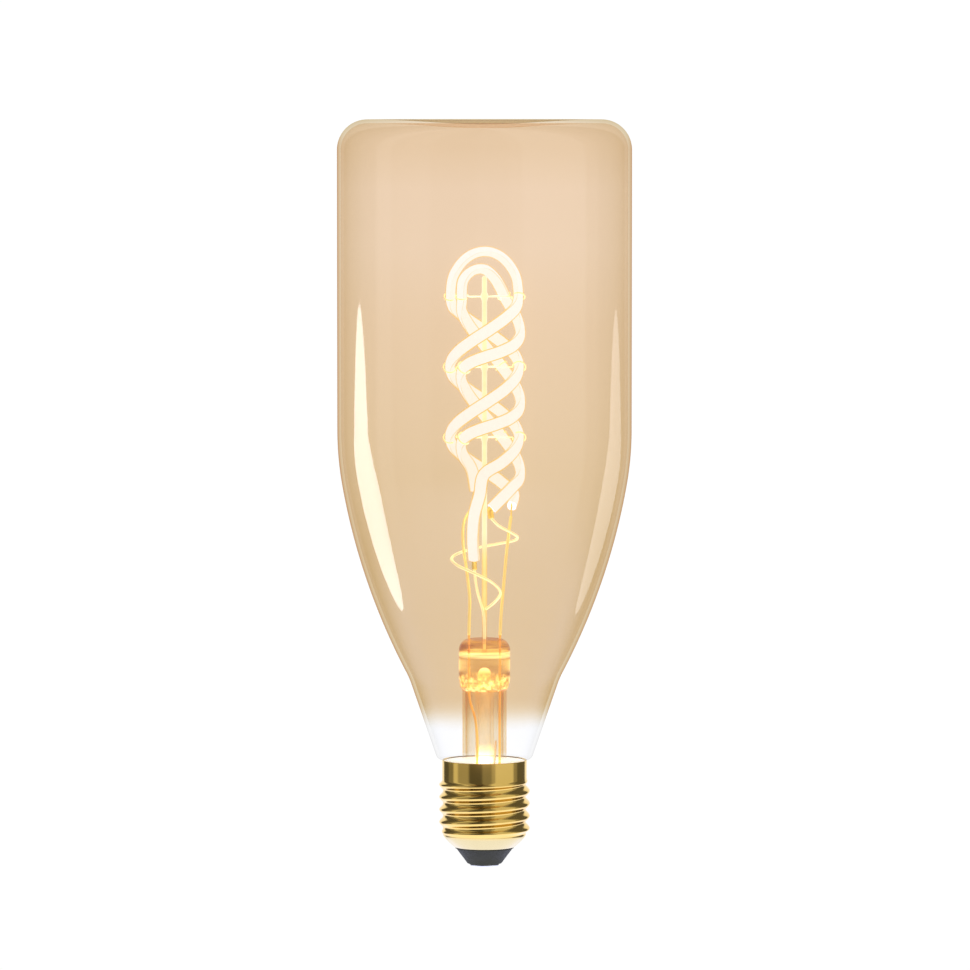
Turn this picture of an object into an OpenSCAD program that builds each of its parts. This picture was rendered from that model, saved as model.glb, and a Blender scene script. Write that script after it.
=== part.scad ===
// Bottle-shaped smart light bulb: amber glass, two LED filaments twisted round each other,
// and an E27 screw cap that holds the driver and its wireless module.
// Millimetres. The origin is the centre of the end contact's outer face; +Z points to the glass end.

/* [Glass envelope] */
// Height from the end contact to the top of the glass
bulb_h = 216; // [211:1:221]
// Diameter of the straight upper part of the glass
bulb_d = 85; // [84:0.5:88]
// Thickness of the glass
glass_wall = 1.1; // [0.8:0.1:1.3]
// Radius of the rounded top corner
corner_r = 8.7; // [6:0.1:12]
// Depth of the shallow dish in the top
dish_depth = 1.4; // [0.2:0.1:3]
// Height at which the straight part ends and the taper begins
taper_top_z = 126.5; // [124:0.5:128.5]
// Diameter of the glass neck inside the cap
neck_d = 22.4; // [22:0.1:22.6]

/* [Screw cap] */
// Diameter over the thread's crests (E27)
thread_d = 26.3; // [26.05:0.05:26.45]
// Depth of the rolled thread
thread_depth = 1.1; // [0.9:0.05:1.2]
// Thread pitch (E27 has seven turns to the inch)
thread_pitch = 3.629; // [3.6:0.001:3.66]
// Height of the brass shell's rim
rim_z = 30.8; // [30:0.1:30.9]
// Diameter of the end contact
contact_d = 8.6; // [8:0.1:9]

/* [Glass stem] */
// Diameter of the stem tube
stem_d = 12.8; // [12.4:0.1:13.2]
// Diameter of the stem's head
head_d = 14.8; // [14:0.1:16]
// Height of the top of the stem's head
head_top_z = 66; // [65.5:0.1:66.5]
// Height of the centre rod's tip
rod_top_z = 171; // [168:0.5:171.2]

/* [Filaments] */
// Radius of the outer filament's helix
helix_r = 10; // [9.5:0.1:10.5]
// Radius of the inner filament's helix
inner_helix_r = 8.6; // [8.4:0.1:8.8]
// Rise of one turn of either filament
helix_pitch = 40.7; // [40:0.1:41.5]
// Width of the coated filament
filament_w = 2.8; // [2.4:0.1:3]
// Thickness of the metal strip inside the coats
strip_t = 0.4; // [0.3:0.05:0.6]
// Thickness of the coat on each side of the strip
coat_t = 0.95; // [0.7:0.05:1.1]

/* [Supports and leads] */
// Diameter of a support arm's wire
arm_d = 0.4; // [0.3:0.05:0.5]
// Inner radius of the hook round a filament
hook_gap_r = 1.45; // [1.4:0.05:1.7]
// Diameter of the inner lead wires
lead_d = 0.9; // [0.6:0.1:1]
// Diameter of the thin wires: link wire, seal wires and driver wires
fine_wire_d = 0.7; // [0.5:0.05:0.7]

/* [Driver] */
// Width of the driver board
board_w = 19; // [17:0.5:19.5]
// Diameter of the bulk capacitor
capacitor_d = 6.3; // [5:0.1:6.3]
// Diameter of the inductor's core
inductor_d = 6; // [5:0.1:6]

/* [Hidden] */

$fn = 64;
eps = 0.01;
fit_gap = 0.01;
wire_sides = 8;
arm_sides = 6;

// Glass outline: two outward arcs, one hollow arc, then a straight cone down to the neck.
bulb_r = bulb_d / 2;
neck_r = neck_d / 2;
shoulder_z = 31;
shoulder_fillet_r = 1.6;
neck_bottom_z = 22.5;
belly_arc_r = 92;
belly_arc_end = -10;
taper_arc_r = 187;
taper_arc_end = -27.6;
hollow_arc_r = 25;
cone_angle = -19;

// Screw shell
thread_crest_r = thread_d / 2;
thread_root_r = thread_crest_r - thread_depth;
shell_inner_r = 11.65;
skirt_r = 12.3;
skirt_bottom_z = 25.4;
foot_power = 1.35;
thread_bottom_z = 9;
thread_fade = 1.7;
shell_bottom_z = 5.4;
shell_bottom_r = 8.7;
shell_mouth_r = 8.05;
shell_floor_z = 6.3;
shell_sides = 48;
shell_row = 0.46;
// Inside of the shell, from the rim down to the mouth
shell_lining = [
    [shell_inner_r, rim_z], [shell_inner_r, 9.5], [11.1, 8.3], [10.2, 7.1], [9.4, shell_floor_z],
    [shell_mouth_r, shell_floor_z], [shell_mouth_r, shell_bottom_z]
];
cement_gap = 0.04;
cement_below_rim = 0.3;

// Cap insulator and end contact
insulator_foot_r = 5.2;
insulator_rounding = 0.5;
insulator_top_r = 8.5;
insulator_collar_r = 8;
insulator_flange_r = 9.2;
insulator_flange_z = 7.6;
insulator_hole_r = 0.9;
contact_r = contact_d / 2;
contact_t = 0.6;
barrel_r = 1.6;
barrel_hole_r = 0.8;
barrel_top_z = 2;
barrel_clearance = 0.05;
contact_chamfer = 0.35;

// Stem
stem_r = stem_d / 2;
stem_wall = 0.9;
stem_top_z = 51;
flare_start_z = 31;
flare_bottom_z = 21.6;
flare_power = 2.4;
head_r = head_d / 2;
head_corner_r = 3.3;
head_foot_h = 3.5;
exhaust_r = 2.7;
exhaust_bore_r = 1.9;
exhaust_tip_z = 27;
exhaust_tip_t = 0.6;
exhaust_bore_top_z = 55.6;
rod_r = 0.75;
rod_bottom_z = 61;
bead_r = 1.15;
bead_inset = 0.45;
hook_turn = 300;
knee_gap = 0.6;

// Leads
fine_wire_r = fine_wire_d / 2;
lead_r = lead_d / 2;
seal_x = 4.5;
seal_bottom_z = 50.5;
seal_top_z = 67;
post_y = -1.5;
post_r = 0.4;
post_bottom_z = 63;

left_lead_route = [
    [-4.5, 0, 67], [-4.4, 0, 72], [-4.3, 0, 78], [-5.2, 0, 86], [-6.2, 0.3, 94], [-5.9, 3.4, 99.6],
    [-4, 6.8, 103], [-2.9, 8, 105.6]
];
right_lead_route = [
    [4.5, 0, 67], [4.9, 0, 74], [5.6, 0, 82], [6.3, 0, 90], [7.1, 0.1, 97], [7.7, 0.3, 101.4]
];
post_route = [[0, -1.5, 63], [0, -1.5, 70], [-0.4, -1.6, 74], [-2.2, -2.3, 80.5], [-2.9, -3, 86.2]];
link_route = [
    [2, -8.2, 101.4], [4.2, -8, 99.2], [7.6, -5.6, 97.2], [9.5, -1.4, 95.6], [8.7, 4, 94.2], [4.4, 7.9, 93],
    [-1.6, 8.8, 91.8], [-7, 6.2, 90.5], [-9.5, 0.6, 89.2], [-7.8, -5.2, 87.6], [-3, -8.4, 85.6], [2, -8, 83],
    [4.6, -5, 80], [3.4, -2.6, 77.2], [0.34, -1.6, 74.6]
];
outer_left_route = [
    [-4.5, 0, 50.5], [-4.1, -0.8, 47.4], [-2.7, -3.2, 43], [-2.1, -3.7, 37], [-2.1, -3.7, 31],
    [-2.5, -2.6, 26], [-3.2, -0.2, 22], [-3.2, 0.65, 19.6]
];
outer_right_route = [
    [4.5, 0, 50.5], [4.4, 0, 44], [4.4, 0, 30], [4.2, 0.1, 24], [3.75, 0.65, 21.4], [3.75, 0.65, 19.2]
];
antenna_route = [[0, 4.6, 19.5], [0.6, 4.4, 22], [2.6, 3.3, 27], [3.3, 2.6, 36]];
live_route = [[0, 0.6, 10], [0, 0.5, 9], [0, 0.15, 8], [0, 0, 7], [0, 0, 2]];
neutral_route = [[-8, 0.65, 19.4], [-8.3, 0.6, 20.4], [-9.4, 0.4, 21], [-10.3, 0.3, 21], [-10.85, 0.3, 21]];

// Filament routes: hand-placed ends, computed turns
level_top_z = 165;
level_count = 3;
level_step = helix_pitch / 2;
arch_rise = 13;
arch_sway = 2.5;
inner_helix_x = 1.8;
inner_phase_z = 154.8;
inner_lift = 7.5;
turn_points = 12;
ring_steps = 2;
filament_1_tail = [[-3, -3.3, 89], [-3.4, -4.8, 95], [-3, -7.2, 101.9], [-1.4, -9.3, 108.2]];
filament_1_end = [7.9, 0.7, 104.4];
filament_2_front_end = [2.1, -8.2, 104.2];
filament_2_left_end = [-2.6, 8, 108.6];
filament_2_arch = [
    [7.9, 5.2, 161.2], [6, 5.2, 164.4], [4.6, 3.8, 167.4], [2.8, 2, 170.4], [0, 0.2, 172.8],
    [-3.5, -1.6, 172.4], [-6.2, -3.6, 169.4]
];
tab_w = 1.7;
tab_t = 0.35;
tab_straight = 0.7;

// Driver
liner_outer_r = 11.3;
liner_wall = 0.5;
liner_bottom_z = 9.6;
liner_top_z = 20.4;
board_y = 1;
board_t = 1;
board_bottom_z = 9;
board_top_z = 20.2;
component_floor_z = 10.2;
capacitor_x = -5.5;
capacitor_y = -3.4;
capacitor_h = 9.8;
capacitor_edge = 0.4;
crimp_z = 1.2;
crimp_h = 0.8;
crimp_depth = 0.35;
leg_r = 0.25;
leg_spread = 1.2;
leg_z = 9.7;
inductor_x = 1.5;
inductor_y = -3.6;
inductor_h = 5.6;
inductor_flange_t = 1;
inductor_neck_r = 1.5;
winding_inset = 0.4;
resistor_x = 7;
resistor_y = -2;
resistor_d = 2.4;
resistor_h = 5.4;
resistor_waist = 0.2;
resistor_cap_h = 1.6;
resistor_slope = 0.4;
bridge_size = [4, 1.4, 3.2];
bridge_corner = [4.6, -0.4, 16.8];
chip_size = [3.9, 1.6, 3.6];
chip_corner = [-1.2, -0.6, 16.4];
passive_size = [1.2, 0.6, 2];
passive_xs = [-7.6, -5.2, 4, 6.4];
passive_zs = [13.2, 17.4];
module_y = 4.2;
module_size = [11, 0.8, 9.5];
module_bottom_z = 10;
can_size = [8.4, 1.9, 6.4];
can_bottom_z = 12.4;
can_wall = 0.25;
pin_r = 0.3;
pin_pitch = 2.54;
pin_count = 4;
pin_z = 11;
pin_overhang = 0.4;
antenna_r = 0.3;
neutral_wire_r = 0.3;
solder_x = -11.13;
solder_r = 0.49;

// ---------- functions ----------

function dir(a) = [cos(a), sin(a)];
function unit(v) = v / norm(v);
function arc(c, r, a0, a1, n) = [for (i = [0 : n]) c + r * dir(a0 + (a1 - a0) * i / n)];
// The same arc without its first point, for an outline that already has it.
function arc_after(c, r, a0, a1, n) = [for (i = [1 : n]) c + r * dir(a0 + (a1 - a0) * i / n)];

// The glass outline from the axis at the top down to the neck, moved in by t.
function glass_outline(t) =
    let (
        ring_r = bulb_r - corner_r,
        belly_c = [bulb_r - belly_arc_r, taper_top_z],
        taper_c = belly_c + (belly_arc_r - taper_arc_r) * dir(belly_arc_end),
        hollow_c = taper_c + (taper_arc_r + hollow_arc_r) * dir(taper_arc_end),
        cone_top = hollow_c - hollow_arc_r * dir(cone_angle),
        fillet_z = shoulder_z + shoulder_fillet_r,
        cone_end_z = fillet_z + shoulder_fillet_r * sin(cone_angle),
        cone_end = [cone_top[0] + (cone_top[1] - cone_end_z) * tan(cone_angle), cone_end_z],
        fillet_c = cone_end - shoulder_fillet_r * dir(cone_angle)
    )
    concat(
        [for (i = [0 : 8]) [ring_r * i / 8, bulb_h - t - dish_depth * (0.5 + 0.5 * cos(180 * i / 8))]],
        arc([ring_r, bulb_h - corner_r], corner_r - t, 81, 0, 9),
        arc(belly_c, belly_arc_r - t, 0, belly_arc_end, 5),
        arc_after(taper_c, taper_arc_r - t, belly_arc_end, taper_arc_end, 9),
        arc_after(hollow_c, -hollow_arc_r - t, taper_arc_end, cone_angle, 4),
        arc(fillet_c, shoulder_fillet_r - t, cone_angle, -90, 4),
        [[neck_r - t, shoulder_z + t], [neck_r - t, neck_bottom_z]]
    );

// A smooth curve through every point of c, with n steps between neighbours.
function blend_point(a, b, c, d, t) =
    0.5 * (2 * b + (c - a) * t + (2 * a - 5 * b + 4 * c - d) * t * t + (3 * b - a - 3 * c + d) * t * t * t);
function curve(c, n) =
    let (last = len(c) - 1)
    concat(
        [for (i = [0 : last - 1], k = [0 : n - 1])
            blend_point(c[max(i - 1, 0)], c[i], c[i + 1], c[min(i + 2, last)], k / n)],
        [c[last]]
    );

function tangents(path) =
    let (last = len(path) - 1)
    [for (i = [0 : last]) unit(path[min(i + 1, last)] - path[max(i - 1, 0)])];
function square_to(v, t) = unit(v - (v * t) * t);
function reversed(list) = [for (i = [len(list) - 1 : -1 : 0]) list[i]];
function last_of(list) = list[len(list) - 1];

// One normal per point, carried along the path without twist.
function carried_normals(tans, before, i = 0) =
    i >= len(tans) ? [] :
    let (n = square_to(before, tans[i]))
    concat([n], carried_normals(tans, n, i + 1));
function any_side(t) = abs(t[0]) < 0.8 ? [1, 0, 0] : [0, 1, 0];

// One normal per point, facing away from the helix's axis, and upwards over the arch.
function outward_normals(path, axis_x) =
    let (tans = tangents(path))
    [for (i = [0 : len(path) - 1])
        square_to([path[i][0] - axis_x, path[i][1], max(path[i][2] - level_top_z, 0)], tans[i])];

// A helix whose turns are tilted: they rise by the lift from its right side to its left side.
function helix_point(z, r, x, phase_z, start, lift) =
    let (a = start + 360 * (z - phase_z) / helix_pitch)
    [x + r * cos(a), r * sin(a), z + lift * (1 - cos(a)) / 2];
function helix_run(z0, z1, r, x, phase_z, start, lift = 0) =
    let (n = round(abs(z1 - z0) / helix_pitch * turn_points))
    [for (i = [0 : n]) helix_point(z0 + (z1 - z0) * i / n, r, x, phase_z, start, lift)];

function filament_1_route() = concat(
    filament_1_tail,
    helix_run(114, 163, helix_r, 0, level_top_z, 0),
    [for (s = [20 : 20 : 160])
        [helix_r * cos(s), arch_sway * sin(2 * s), level_top_z + arch_rise * sin(s)]],
    helix_run(163, 107.5, helix_r, 0, level_top_z, 180),
    [filament_1_end]
);
function filament_2_route() = concat(
    [filament_2_front_end],
    helix_run(109, 157.5, inner_helix_r, inner_helix_x, inner_phase_z, 0, inner_lift),
    filament_2_arch,
    helix_run(156.5, 108.5, inner_helix_r, inner_helix_x, inner_phase_z, 180, inner_lift),
    [filament_2_left_end]
);

filament_1_path = curve(filament_1_route(), ring_steps);
filament_2_path = curve(filament_2_route(), ring_steps);

// The strand of a filament that crosses the height z on one side: its place, normal and direction.
function strand_at(path, axis_x, z, side) =
    let (normals = outward_normals(path, axis_x))
    [for (i = [0 : len(path) - 2])
        let (a = path[i], b = path[i + 1])
        if ((a[2] - z) * (b[2] - z) <= 0 && (a + b) * side > 0)
            let (f = (z - a[2]) / (b[2] - a[2]), t = unit(b - a))
            [a + f * (b - a), square_to((1 - f) * normals[i] + f * normals[i + 1], t), t]][0];

// Each level's four arms: the strands that they hold, two of each filament.
function level_z(level) = level_top_z - level * level_step;
function held_strands(level) = [
    strand_at(filament_1_path, 0, level_z(level), [1, 0, 0]),
    strand_at(filament_1_path, 0, level_z(level), [-1, 0, 0]),
    strand_at(filament_2_path, inner_helix_x, level_z(level), [0, 1, 0]),
    strand_at(filament_2_path, inner_helix_x, level_z(level), [0, -1, 0])
];

// An arm's path: level and straight out of the bead, then an open hook square to the strand.
hook_r = hook_gap_r + arm_d / 2;
function hook_start(strand) = strand[0] - hook_r * strand[1];
function heading(strand) = atan2(hook_start(strand)[1], hook_start(strand)[0]);
function arm_path(strand, z) =
    let (
        width_dir = cross(strand[1], strand[2]),
        reach = norm([hook_start(strand)[0], hook_start(strand)[1]]) - knee_gap,
        out = [cos(heading(strand)), sin(heading(strand)), 0]
    )
    concat(
        [bead_inset * out + [0, 0, z], reach * out + [0, 0, z]],
        [for (a = [180 : 30 : 180 + hook_turn])
            strand[0] + hook_r * (cos(a) * strand[1] + sin(a) * width_dir)]
    );

function strip_outline() = [
    [-filament_w / 2, -strip_t / 2], [filament_w / 2, -strip_t / 2],
    [filament_w / 2, strip_t / 2], [-filament_w / 2, strip_t / 2]
];
function coat_outline(side) =
    [for (a = [0 : 36 : 180]) side * [filament_w / 2 * cos(a), strip_t / 2 + coat_t * sin(a)]];
function round_outline(r, n) = [for (i = [0 : n - 1]) r * dir(360 * i / n)];

// ---------- shared shapes ----------

// Sweeps an outline along a path; each ring's second axis is its normal.
// Two sweeps that share a twisted face need opposite diagonals, so one of them is flipped.
module sweep(path, normals, outline, flip = false) {
    n = len(outline);
    rings = len(path);
    tans = tangents(path);
    points = [for (i = [0 : rings - 1], q = outline)
        path[i] + q[0] * cross(normals[i], tans[i]) + q[1] * normals[i]];
    sides = [for (i = [0 : rings - 2], j = [0 : n - 1])
        let (a = i * n + j, b = i * n + (j + 1) % n, c = b + n, d = a + n)
        each (flip ? [[a, d, b], [b, d, c]] : [[a, d, c], [a, c, b]])];
    caps = [[for (j = [0 : n - 1]) j], [for (j = [n - 1 : -1 : 0]) (rings - 1) * n + j]];
    polyhedron(points, concat(sides, caps), convexity = 10);
}

module wire(route, r, steps = 3, sides = wire_sides) {
    path = curve(route, steps);
    tans = tangents(path);
    sweep(path, carried_normals(tans, any_side(tans[0])), round_outline(r, sides));
}

module ring(outer, inner, h) {
    difference() {
        cylinder(r = outer, h = h);
        translate([0, 0, -eps]) cylinder(r = inner, h = h + 2 * eps);
    }
}

module along_y(r, y0, y1) {
    translate([0, y0, 0]) rotate([-90, 0, 0]) cylinder(r = r, h = y1 - y0, $fn = 32);
}

// ---------- glass ----------

module glass_envelope() {
    outer = glass_outline(0);
    inner = glass_outline(glass_wall);
    color([0.93, 0.78, 0.55, 0.45])
    rotate_extrude() polygon(concat(outer, reversed(inner)));
}

// The flare widens faster and faster on the way down, and ends in a flat rim.
function flare_outline(r0, z0, z1) =
    let (r1 = neck_r - glass_wall)
    concat(
        [for (s = [0 : 1 / 8 : 1]) [r0 + (r1 - r0) * pow(s, flare_power), z0 + (z1 - z0) * sin(90 * s)]],
        [[neck_r, z1]]
    );

module stem_tube() {
    outer = concat([[stem_r, stem_top_z]], flare_outline(stem_r, flare_start_z, neck_bottom_z));
    bore_r = stem_r - stem_wall;
    inner = concat([[bore_r, stem_top_z]], flare_outline(bore_r, flare_start_z - stem_wall, flare_bottom_z));
    color([0.9, 0.93, 0.95, 0.4])
    rotate_extrude() polygon(concat(outer, reversed(inner)));
}

module stem_head() {
    corner = arc([head_r - head_corner_r, head_top_z - head_corner_r], head_corner_r, 0, 90, 7);
    color([0.9, 0.93, 0.95, 0.4])
    difference() {
        rotate_extrude()
            polygon(concat(
                [[0, stem_top_z], [stem_r, stem_top_z], [head_r, stem_top_z + head_foot_h]],
                corner,
                [[0, head_top_z]]
            ));
        translate([0, 0, stem_top_z - eps])
            cylinder(r = exhaust_bore_r, h = exhaust_bore_top_z - stem_top_z);
        translate([0, 0, exhaust_bore_top_z - eps]) sphere(r = exhaust_bore_r);
        translate([0, 0, rod_bottom_z]) cylinder(r = rod_r + fit_gap, h = head_top_z);
        for (side = [-1, 1])
            translate([side * seal_x, 0, 0]) cylinder(r = fine_wire_r + fit_gap, h = rod_top_z);
        translate([0, post_y, post_bottom_z]) cylinder(r = post_r + fit_gap, h = head_top_z);
    }
}

// Sealed by melting: the tip is a closed round end.
module exhaust_tube() {
    color([0.9, 0.93, 0.95, 0.4])
    rotate_extrude()
        polygon(concat(
            [[exhaust_bore_r, stem_top_z], [exhaust_r, stem_top_z]],
            arc([0, exhaust_tip_z + exhaust_r], exhaust_r, 0, -90, 6),
            arc([0, exhaust_tip_z + exhaust_r + exhaust_tip_t], exhaust_bore_r, -90, 0, 6)
        ));
}

module centre_rod() {
    color([0.9, 0.93, 0.95, 0.4])
    difference() {
        union() {
            translate([0, 0, rod_bottom_z]) cylinder(r = rod_r, h = rod_top_z - rod_r - rod_bottom_z);
            translate([0, 0, rod_top_z - rod_r]) sphere(r = rod_r);
            for (level = [0 : level_count - 1])
                translate([0, 0, level_z(level)]) sphere(r = bead_r);
        }
        for (level = [0 : level_count - 1])
            for (strand = held_strands(level))
                translate([0, 0, level_z(level)])
                rotate([0, 90, heading(strand)])
                translate([0, 0, bead_inset]) cylinder(r = arm_d / 2 + fit_gap, h = bead_r, $fn = 32);
    }
}

// ---------- supports ----------

module support_arms(level) {
    color([0.75, 0.7, 0.6])
    for (strand = held_strands(level)) {
        path = arm_path(strand, level_z(level));
        tans = tangents(path);
        sweep(path, carried_normals(tans, [0, 0, 1]), round_outline(arm_d / 2, arm_sides));
    }
}

module support_arms_top() { support_arms(0); }
module support_arms_middle() { support_arms(1); }
module support_arms_bottom() { support_arms(2); }

// ---------- leads ----------

module inner_lead_left() { color([0.8, 0.76, 0.66]) wire(left_lead_route, lead_r); }
module inner_lead_right() { color([0.8, 0.76, 0.66]) wire(right_lead_route, lead_r); }

module seal_wire(x) {
    color([0.72, 0.4, 0.27])
    translate([x, 0, seal_bottom_z]) cylinder(r = fine_wire_r, h = seal_top_z - seal_bottom_z);
}

module seal_wire_left() { seal_wire(-seal_x); }
module seal_wire_right() { seal_wire(seal_x); }

module outer_lead_left() { color([0.78, 0.5, 0.35]) wire(outer_left_route, fine_wire_r); }
module outer_lead_right() { color([0.78, 0.5, 0.35]) wire(outer_right_route, fine_wire_r); }

module link_post() { color([0.8, 0.76, 0.66]) wire(post_route, post_r); }
module link_wire() { color([0.8, 0.76, 0.66]) wire(link_route, post_r); }

// ---------- filaments ----------

module filament_strip(path, axis_x) {
    color([0.8, 0.72, 0.55]) sweep(path, outward_normals(path, axis_x), strip_outline());
}

module filament_coat(path, axis_x, side) {
    color([1, 0.82, 0.45]) sweep(path, outward_normals(path, axis_x), coat_outline(side), flip = true);
}

module filament_1_strip() { filament_strip(filament_1_path, 0); }
module filament_1_front_coat() { filament_coat(filament_1_path, 0, 1); }
module filament_1_back_coat() { filament_coat(filament_1_path, 0, -1); }
module filament_2_strip() { filament_strip(filament_2_path, inner_helix_x); }
module filament_2_front_coat() { filament_coat(filament_2_path, inner_helix_x, 1); }
module filament_2_back_coat() { filament_coat(filament_2_path, inner_helix_x, -1); }

// A flat metal tab that carries the strip on past the start of its path and then turns to the lead.
module end_tab(filament, to, axis_x) {
    path = [filament[0], filament[0] + tab_straight * unit(filament[0] - filament[1]), to];
    w = tab_w / 2;
    t = tab_t / 2;
    sweep(path, outward_normals(path, axis_x), [[-w, -t], [w, -t], [w, t], [-w, t]]);
}

module filament_tabs() {
    color([0.85, 0.8, 0.68]) {
        end_tab(filament_1_path, last_of(post_route), 0);
        end_tab(reversed(filament_1_path), last_of(right_lead_route), 0);
        end_tab(filament_2_path, link_route[0], inner_helix_x);
        end_tab(reversed(filament_2_path), last_of(left_lead_route), inner_helix_x);
    }
}

// ---------- screw cap ----------

// The shell's outer radius at a height and an angle: foot, rolled thread, smooth skirt.
function fade(z, z0, z1) = min(max((z - z0) / (z1 - z0), 0), 1);
function foot_r(z) =
    let (t = (thread_bottom_z - z) / (thread_bottom_z - shell_bottom_z))
    shell_bottom_r + (thread_root_r - shell_bottom_r) * (1 - pow(t, foot_power));
function shell_r(z, a) =
    let (
        mid_r = (thread_crest_r + thread_root_r) / 2,
        wave = mid_r + thread_depth / 2 * cos(360 * z / thread_pitch - a),
        low = fade(z, thread_bottom_z, thread_bottom_z + thread_fade),
        high = fade(z, skirt_bottom_z - thread_fade, skirt_bottom_z)
    )
    z <= thread_bottom_z ? foot_r(z) :
    (thread_root_r * (1 - low) + wave * low) * (1 - high) + skirt_r * high;

function shell_rows() =
    let (
        foot = [for (i = [0 : 5]) shell_bottom_z + (thread_bottom_z - shell_bottom_z) * i / 6],
        turns = ceil((skirt_bottom_z - thread_bottom_z) / shell_row),
        band = [for (i = [0 : turns]) thread_bottom_z + (skirt_bottom_z - thread_bottom_z) * i / turns]
    )
    concat(foot, band, [rim_z]);

module screw_shell() {
    outer = [for (z = shell_rows()) [for (j = [0 : shell_sides - 1])
        let (a = 360 * j / shell_sides) [shell_r(z, a) * cos(a), shell_r(z, a) * sin(a), z]]];
    inner = [for (q = shell_lining) [for (j = [0 : shell_sides - 1])
        let (a = 360 * j / shell_sides) [q[0] * cos(a), q[0] * sin(a), q[1]]]];
    rows = concat(outer, inner);
    color([0.78, 0.65, 0.27])
    polyhedron(
        [for (row = rows) each row],
        [for (k = [0 : len(rows) - 1], j = [0 : shell_sides - 1])
            let (
                up = (k + 1) % len(rows) * shell_sides,
                on = (j + 1) % shell_sides,
                a = k * shell_sides + j,
                b = k * shell_sides + on,
                c = up + on,
                d = up + j
            )
            each [[a, d, c], [a, c, b]]],
        convexity = 10
    );
}

module cap_insulator() {
    color([0.22, 0.24, 0.26])
    difference() {
        rotate_extrude()
            polygon(concat(
                [[0, contact_t]],
                arc(
                    [insulator_foot_r - insulator_rounding, contact_t + insulator_rounding],
                    insulator_rounding, -90, -20, 4
                ),
                [
                    [insulator_top_r, shell_bottom_z], [insulator_collar_r, shell_bottom_z],
                    [insulator_collar_r, shell_floor_z], [insulator_flange_r, shell_floor_z],
                    [insulator_flange_r, insulator_flange_z], [0, insulator_flange_z]
                ]
            ));
        translate([0, 0, contact_t - eps])
            cylinder(r = barrel_r + fit_gap, h = barrel_top_z - contact_t + barrel_clearance);
        cylinder(r = insulator_hole_r, h = shell_bottom_z * 2);
    }
}

module end_contact() {
    color([0.72, 0.72, 0.7])
    difference() {
        rotate_extrude()
            polygon([
                [0, 0], [contact_r - contact_chamfer, 0], [contact_r, contact_chamfer],
                [contact_r, contact_t], [barrel_r, contact_t], [barrel_r, barrel_top_z], [0, barrel_top_z]
            ]);
        translate([0, 0, contact_t]) cylinder(r = barrel_hole_r, h = barrel_top_z);
    }
}

// Solder fills the contact's hollow barrel, up to the live wire's end.
module contact_solder() {
    color([0.8, 0.81, 0.82])
    translate([0, 0, contact_t]) cylinder(r = barrel_hole_r, h = barrel_top_z - contact_t);
}

module cap_cement() {
    color([0.85, 0.82, 0.75])
    translate([0, 0, neck_bottom_z])
    ring(shell_inner_r - cement_gap, neck_r, rim_z - cement_below_rim - neck_bottom_z);
}

// ---------- driver ----------

module insulating_liner() {
    color([0.92, 0.92, 0.9])
    translate([0, 0, liner_bottom_z])
    ring(liner_outer_r, liner_outer_r - liner_wall, liner_top_z - liner_bottom_z);
}

function pin_x(i) = (i - (pin_count - 1) / 2) * pin_pitch;

module pin_holes(y0, y1) {
    for (i = [0 : pin_count - 1])
        translate([pin_x(i), 0, pin_z]) along_y(pin_r + fit_gap, y0, y1);
}

module driver_board() {
    color([0.16, 0.42, 0.24])
    difference() {
        translate([-board_w / 2, board_y, board_bottom_z])
            cube([board_w, board_t, board_top_z - board_bottom_z]);
        pin_holes(board_y - 1, board_y + board_t + 1);
    }
}

module bridge_rectifier() { color([0.15, 0.15, 0.16]) translate(bridge_corner) cube(bridge_size); }
module driver_chip() { color([0.13, 0.13, 0.14]) translate(chip_corner) cube(chip_size); }

// Aluminium can with a crimp groove, and two legs bent to the board.
module bulk_capacitor() {
    r = capacitor_d / 2;
    color([0.2, 0.22, 0.28])
    translate([capacitor_x, capacitor_y, component_floor_z])
    rotate_extrude()
        polygon([
            [0, 0], [r - capacitor_edge, 0], [r, capacitor_edge], [r, crimp_z],
            [r - crimp_depth, crimp_z + crimp_h / 2], [r, crimp_z + crimp_h],
            [r, capacitor_h - capacitor_edge], [r - capacitor_edge, capacitor_h], [0, capacitor_h]
        ]);
    color([0.75, 0.75, 0.76])
    for (side = [-1, 1]) {
        x = capacitor_x + side * leg_spread;
        wire([
            [x, capacitor_y, component_floor_z], [x, capacitor_y + 0.2, leg_z + 0.2],
            [x, capacitor_y + leg_spread, leg_z], [x, board_y, leg_z]
        ], leg_r, 2, arm_sides);
    }
}

module inductor_core() {
    r = inductor_d / 2;
    color([0.25, 0.25, 0.27])
    translate([inductor_x, inductor_y, component_floor_z])
    rotate_extrude()
        polygon([
            [0, 0], [r, 0], [r, inductor_flange_t], [inductor_neck_r, inductor_flange_t],
            [inductor_neck_r, inductor_h - inductor_flange_t], [r, inductor_h - inductor_flange_t],
            [r, inductor_h], [0, inductor_h]
        ]);
}

module inductor_winding() {
    color([0.72, 0.38, 0.2])
    translate([inductor_x, inductor_y, component_floor_z + inductor_flange_t])
    ring(inductor_d / 2 - winding_inset, inductor_neck_r, inductor_h - 2 * inductor_flange_t);
}

module fusible_resistor() {
    r = resistor_d / 2;
    color([0.45, 0.62, 0.7])
    translate([resistor_x, resistor_y, component_floor_z])
    rotate_extrude()
        polygon([
            [0, 0], [r - resistor_slope, 0], [r, resistor_slope], [r, resistor_cap_h - resistor_slope],
            [r - resistor_waist, resistor_cap_h], [r - resistor_waist, resistor_h - resistor_cap_h],
            [r, resistor_h - resistor_cap_h + resistor_slope], [r, resistor_h - resistor_slope],
            [r - resistor_slope, resistor_h], [0, resistor_h]
        ]);
}

module board_passives() {
    color([0.55, 0.45, 0.35])
    for (x = passive_xs, z = passive_zs)
        translate([x, board_y + board_t, z]) cube(passive_size);
}

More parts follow.
